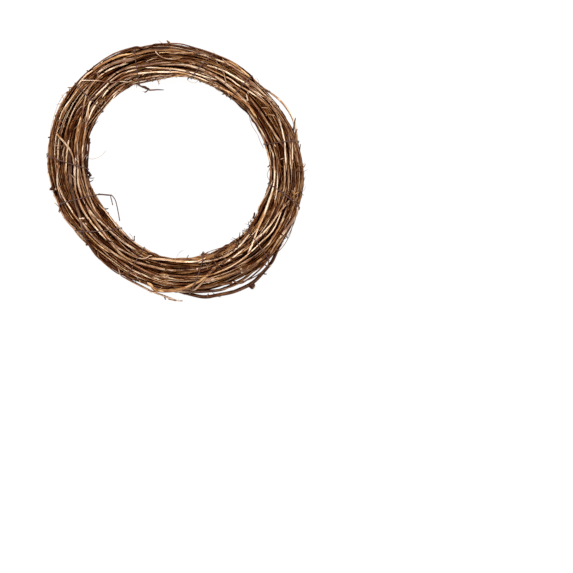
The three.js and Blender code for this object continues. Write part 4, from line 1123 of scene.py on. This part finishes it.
shred_random = np.random.default_rng(23)
shred_tubes = {}
for number in range(SHREDS + BUDS):
    is_bud = number >= SHREDS
    found = None
    messy = number < MESSY_SHREDS
    while found is None and messy:
        from_degrees, to_degrees, from_pixels, to_pixels = MESSY[shred_random.integers(len(MESSY))]
        plane = int(shred_random.uniform(from_degrees, to_degrees) / 360 * PLANES) % PLANES
        reach = shred_random.uniform(from_pixels, to_pixels) * PIXEL
        found = surface_spot(plane, math.pi / 2, (section[plane][0] - reach) / section[plane][1])
    while found is None:
        on_top = shred_random.random() < SHARE_ON_TOP
        bearing = shred_random.uniform(*(ON_TOP if on_top else ALL_ROUND))
        found = surface_spot(
            int(shred_random.integers(PLANES)), math.radians(bearing), shred_random.uniform(-0.92, 0.92))
    spot, facing, ahead = found
    sideways = np.cross(facing, ahead)
    turned = math.radians(shred_random.normal(0, MESSY_SWING if messy else SHRED_SWING))
    along = math.cos(turned) * ahead + math.sin(turned) * sideways
    length = shred_random.uniform(*(BUD_LONG_MM if is_bud else SHRED_LONG_MM))
    radius = shred_random.uniform(*(BUD_RADII_MM if is_bud else SHRED_RADII_MM))
    shape, sides = (BUD_SHAPE, BUD_SIDES) if is_bud else (SHRED_SHAPE, SHRED_SIDES)
    share = np.linspace(-1, 1, len(shape))
    lift = shred_random.uniform(0, 1) * share ** 2 + shred_random.uniform(0, 0.6) * share
    lift = np.maximum(lift * (0 if is_bud else SHRED_LIFT_MM), -SHRED_SUNK_MM)
    curl = shred_random.normal(0, 0.12) * length * share ** 2
    line = (spot + along * (share * length / 2 * MM)[:, None]
            + facing * ((lift + 0.5 * radius) * MM)[:, None] + sideways * (curl * MM)[:, None])
    line[:, 2] = np.clip(line[:, 2], radius * MM, BUNDLE_TOP - radius * MM)
    slot_name = str(shred_random.choice(list(SHRED_BARKS), p=list(SHRED_BARKS.values())))
    shred_tubes.setdefault(slot_name, []).append(add_tube(
        line, radius * MM * shape, sides, shred_random.uniform(*SHRED_TONE), knot=0.4 * is_bud,
        blunt=(False, False)))
for slot_name, tubes in shred_tubes.items():
    finish_piece(slot_name.replace("bark", "loose_bark"), tubes, BARKS[slot_name], slot_name)

# The tie wire: one thin brown wire wound round the bundle and pulled tight, so that between two
# stems it runs straight. Its two ends are twisted together in the hole.
WIRE_RADIUS = 0.4 * MM
WIRE_SIDES = 8
WIRE_TOP = 29.65 * MM
WIRE_CLEAR = 0.15 * MM
# Where the wire crosses the top, as the photograph shows it: how many degrees round the ring it is
# at the inner edge and at the outer edge.
WIRE_PASSES = [
    (-163.7, -164.3), (-181.5, -186.9), (-219.6, -221.0), (-247.3, -251.6), (-279.4, -288.1),
    (-307.2, -308.4), (-343.1, -346.1), (-367.6, -376.3), (-399.4, -403.7), (-431.3, -443.6),
    (-472.9, -475.1), (-494.2, -509.6), (-523.7, -524.3)]
WIRE_BEARINGS = 40
TIGHTENING_ROUNDS = 3
WIRE_STEP = 0.9 * MM
WIRE_FINE_STEP = 0.6 * MM
WIRE_KEEPS_WITHIN = 1.5 * MM
TWIST_TURNS = 6
TWIST_APART = 1.15
# The twisted stretch and the two ends past it, in pixels of the photograph and in millimetres
# above the table.
WIRE_END_LONG = [(119.5, 221, 15.5), (118.2, 213, 16), (115.5, 201, 16), (112.5, 196, 16)]
WIRE_END_SHORT = [(110.4, 196.8, 15), (111.6, 201, 15), (112.5, 205, 14.5)]
TWIST_FROM, TWIST_TO = (99.5, 194.2, 15.5), (111, 195.2, 15.5)


def on_photo(x, y, z_mm):
    """The place in the frame of a pixel of the photograph, at a height in millimetres."""
    return np.array([
        (x - RING_CENTRE_PIXEL[0]) * PIXEL, (RING_CENTRE_PIXEL[1] - y) * PIXEL, z_mm * MM])


def tight_on_bundle(degrees, bearing):
    """Where a tight wire touches the bundle on the side that a bearing points to."""
    turn = degrees / 360 * PLANES
    rings = np.array(cells[math.floor(turn) % PLANES] + cells[math.ceil(turn) % PLANES])
    middle, half_width, _, _ = section[math.floor(turn) % PLANES]
    rings = rings[np.abs(rings[:, 0] - middle) < half_width + WIRE_KEEPS_WITHIN - rings[:, 2]]
    out = np.array([math.cos(bearing), math.sin(bearing)])
    reach, height, radius, _ = rings[np.argmax(rings[:, :2] @ out + rings[:, 2])]
    place = np.array([reach, height]) + out * (radius + WIRE_RADIUS + WIRE_CLEAR)
    angle = math.radians(degrees)
    return [place[0] * math.cos(angle), place[0] * math.sin(angle),
            min(max(place[1], WIRE_RADIUS), WIRE_TOP)]


route = []
half_turn = np.linspace(0, math.pi, WIRE_BEARINGS)
for (inner_edge, outer_edge), (next_edge, _) in zip(WIRE_PASSES, WIRE_PASSES[1:]):
    for bearings, start, stop in (
            (math.pi - half_turn, inner_edge, outer_edge), (-half_turn, outer_edge, next_edge)):
        share = (1 - np.cos(half_turn)) / 2
        for _ in range(TIGHTENING_ROUNDS):
            degrees = start + (stop - start) * share
            places = np.array([tight_on_bundle(*way) for way in zip(degrees, bearings)])
            reach = np.hypot(places[:, 0], places[:, 1])
            share = (reach - reach[0]) / (reach[-1] - reach[0])
        angle = np.radians(start + (stop - start) * share)
        route.extend(np.stack([reach * np.cos(angle), reach * np.sin(angle), places[:, 2]], axis=1))
route = eased(evenly(np.array(route), WIRE_STEP), 2)
twist_from, twist_to = on_photo(*TWIST_FROM), on_photo(*TWIST_TO)
turns = np.linspace(0, TWIST_TURNS * math.tau, TWIST_TURNS * 8)
core = twist_from + (twist_to - twist_from) * (turns / turns[-1])[:, None]
side = np.cross(UP, twist_to - twist_from)
side /= np.linalg.norm(side)
swing = TWIST_APART * WIRE_RADIUS * (np.cos(turns)[:, None] * side + np.sin(turns)[:, None] * UP)
long_end = between([on_photo(*place) for place in WIRE_END_LONG], 6)
short_end = between([on_photo(*place) for place in WIRE_END_SHORT], 6)
route = np.concatenate([long_end, (core + swing)[::-1], route, core - swing, short_end])
route = eased(evenly(route, WIRE_FINE_STEP), 1)

wire_brown = bpy.data.materials.new("wire_brown")
wire_brown.use_nodes = True
nodes = wire_brown.node_tree.nodes
shader = nodes["Principled BSDF"]
place_node = nodes.new("ShaderNodeTexCoord")
wear = nodes.new("ShaderNodeTexNoise")
wear.inputs["Scale"].default_value = 700
wear.inputs["Detail"].default_value = 3
wear_ramp = nodes.new("ShaderNodeValToRGB")
wear_ramp.color_ramp.elements[0].position = 0.35
wear_ramp.color_ramp.elements[0].color = colour("482a23")
wear_ramp.color_ramp.elements[1].position = 0.7
wear_ramp.color_ramp.elements[1].color = colour("7c5548")
wire_brown.node_tree.links.new(place_node.outputs["Object"], wear.inputs["Vector"])
wire_brown.node_tree.links.new(wear.outputs["Fac"], wear_ramp.inputs["Fac"])
wire_brown.node_tree.links.new(wear_ramp.outputs["Color"], shader.inputs["Base Color"])
shader.inputs["Metallic"].default_value = 0.1
shader.inputs["Roughness"].default_value = 0.5
wire = add_tube(route, np.full(len(route), WIRE_RADIUS), WIRE_SIDES, tone=0)
finish_piece("tie_wire_wound", [wire], wire_brown, "wire", "tie_wire")

# Painted shade between the stems: every place on a stem is told how open it is to light from
# round it, and its bark is painted darker where other stems close it in.
LOOKS = np.radians([-75, -55, -36, -18, 0, 18, 36, 55, 75])
LOOKS_AS_FAR_AS = 9 * MM
AT_ONCE = 20000

discs = padded(cells)


def openness_to_light(places, normals, stem):
    """How open to light each place is, for the bark's painted shade, by looking along the plane across
    the ring for the other stems there. The further off a stem is, the less it hides."""
    reach = np.hypot(places[:, 0], places[:, 1])
    turn = np.arctan2(places[:, 1], places[:, 0]) / math.tau * PLANES
    near = discs[np.round(turn).astype(int) % PLANES]
    gap = near[:, :, :2] - np.stack([reach, places[:, 2]], axis=1)[:, None]
    squared = (gap ** 2).sum(axis=2)
    is_other = near[:, :, 3] != stem[:, None]
    outward = (normals[:, 0] * places[:, 0] + normals[:, 1] * places[:, 1]) / reach
    facing = np.arctan2(normals[:, 2], outward)
    light_openness = np.zeros(len(places))
    for look in LOOKS:
        aim = np.stack([np.cos(facing + look), np.sin(facing + look)], axis=1)
        ahead = gap[:, :, 0] * aim[:, :1] + gap[:, :, 1] * aim[:, 1:]
        inside = near[:, :, 2] ** 2 - squared + ahead ** 2
        distance = ahead - np.sqrt(np.maximum(inside, 0))
        hides = is_other & (ahead > 0) & (inside > 0)
        closeness = np.where(hides, 1 - distance / LOOKS_AS_FAR_AS, 0).max(axis=1)
        light_openness += math.cos(look) * (1 - np.clip(closeness, 0, 1))
    return light_openness / np.cos(LOOKS).sum()


# Some stretches of the band are older and darker, or bleached. A stretch is from and to in
# degrees, from and to in pixels from the ring's centre, and how much paler it is.
STRETCHES = [
    (-10, 40, 99, 117, -0.24), (0, 30, 117, 127, -0.15), (30, 90, 86, 97, 0.18),
    (60, 100, 103, 118, -0.12), (92, 162, 105, 117, -0.24), (60, 185, 118, 136, 0.18),
    (150, 245, 95, 107, -0.25), (172, 216, 80, 96, -0.28), (175, 212, 107, 116, -0.22),
    (238, 300, 92, 104, -0.2), (268, 300, 105, 115, -0.18), (264, 296, 117, 126, 0.12),
    (296, 362, 117, 134, -0.26), (300, 362, 88, 106, 0.15)]
STRETCH_EDGE = 5
# Wood from this pale on stays as it is, and wood darker by the other number changes in full.
PALE_WOOD = 0.95
PALE_WOOD_EDGE = 0.3


def weathering(places):
    """How much paler the weather has made each place."""
    degrees = np.degrees(np.arctan2(places[:, 1], places[:, 0]))
    pixels = np.hypot(places[:, 0], places[:, 1]) / PIXEL
    paler = np.zeros(len(places))
    for start, stop, near, far, change in STRETCHES:
        off_turn = np.abs((degrees - (start + stop) / 2 + 180) % 360 - 180) - (stop - start) / 2
        off_band = np.abs(pixels - (near + far) / 2) - (far - near) / 2
        paler += change * (1 - np.clip(np.maximum(off_turn, 2 * off_band) / STRETCH_EDGE + 0.5, 0, 1))
    return paler


for piece in pieces:
    mesh = piece.data
    count = len(mesh.vertices)
    places, normals, stem = np.empty(count * 3), np.empty(count * 3), np.empty(count)
    mesh.vertices.foreach_get("co", places)
    mesh.vertex_normals.foreach_get("vector", normals)
    mesh.attributes["stem"].data.foreach_get("value", stem)
    places, normals, stem = places.reshape(-1, 3), normals.reshape(-1, 3), np.round(stem)
    light_openness = np.concatenate([openness_to_light(places[k:k + AT_ONCE], normals[k:k + AT_ONCE], stem[k:k + AT_ONCE])
                          for k in range(0, count, AT_ONCE)])
    # Kept on the mesh for the bark's painted shade.
    store = mesh.attributes.new("openness_to_light", "FLOAT", "POINT")
    store.data.foreach_set("value", light_openness)
    tone = np.empty(count)
    mesh.attributes["tone"].data.foreach_get("value", tone)
    changes = np.clip((PALE_WOOD - tone) / PALE_WOOD_EDGE, 0, 1)
    mesh.attributes["tone"].data.foreach_set("value", tone + changes * weathering(places))
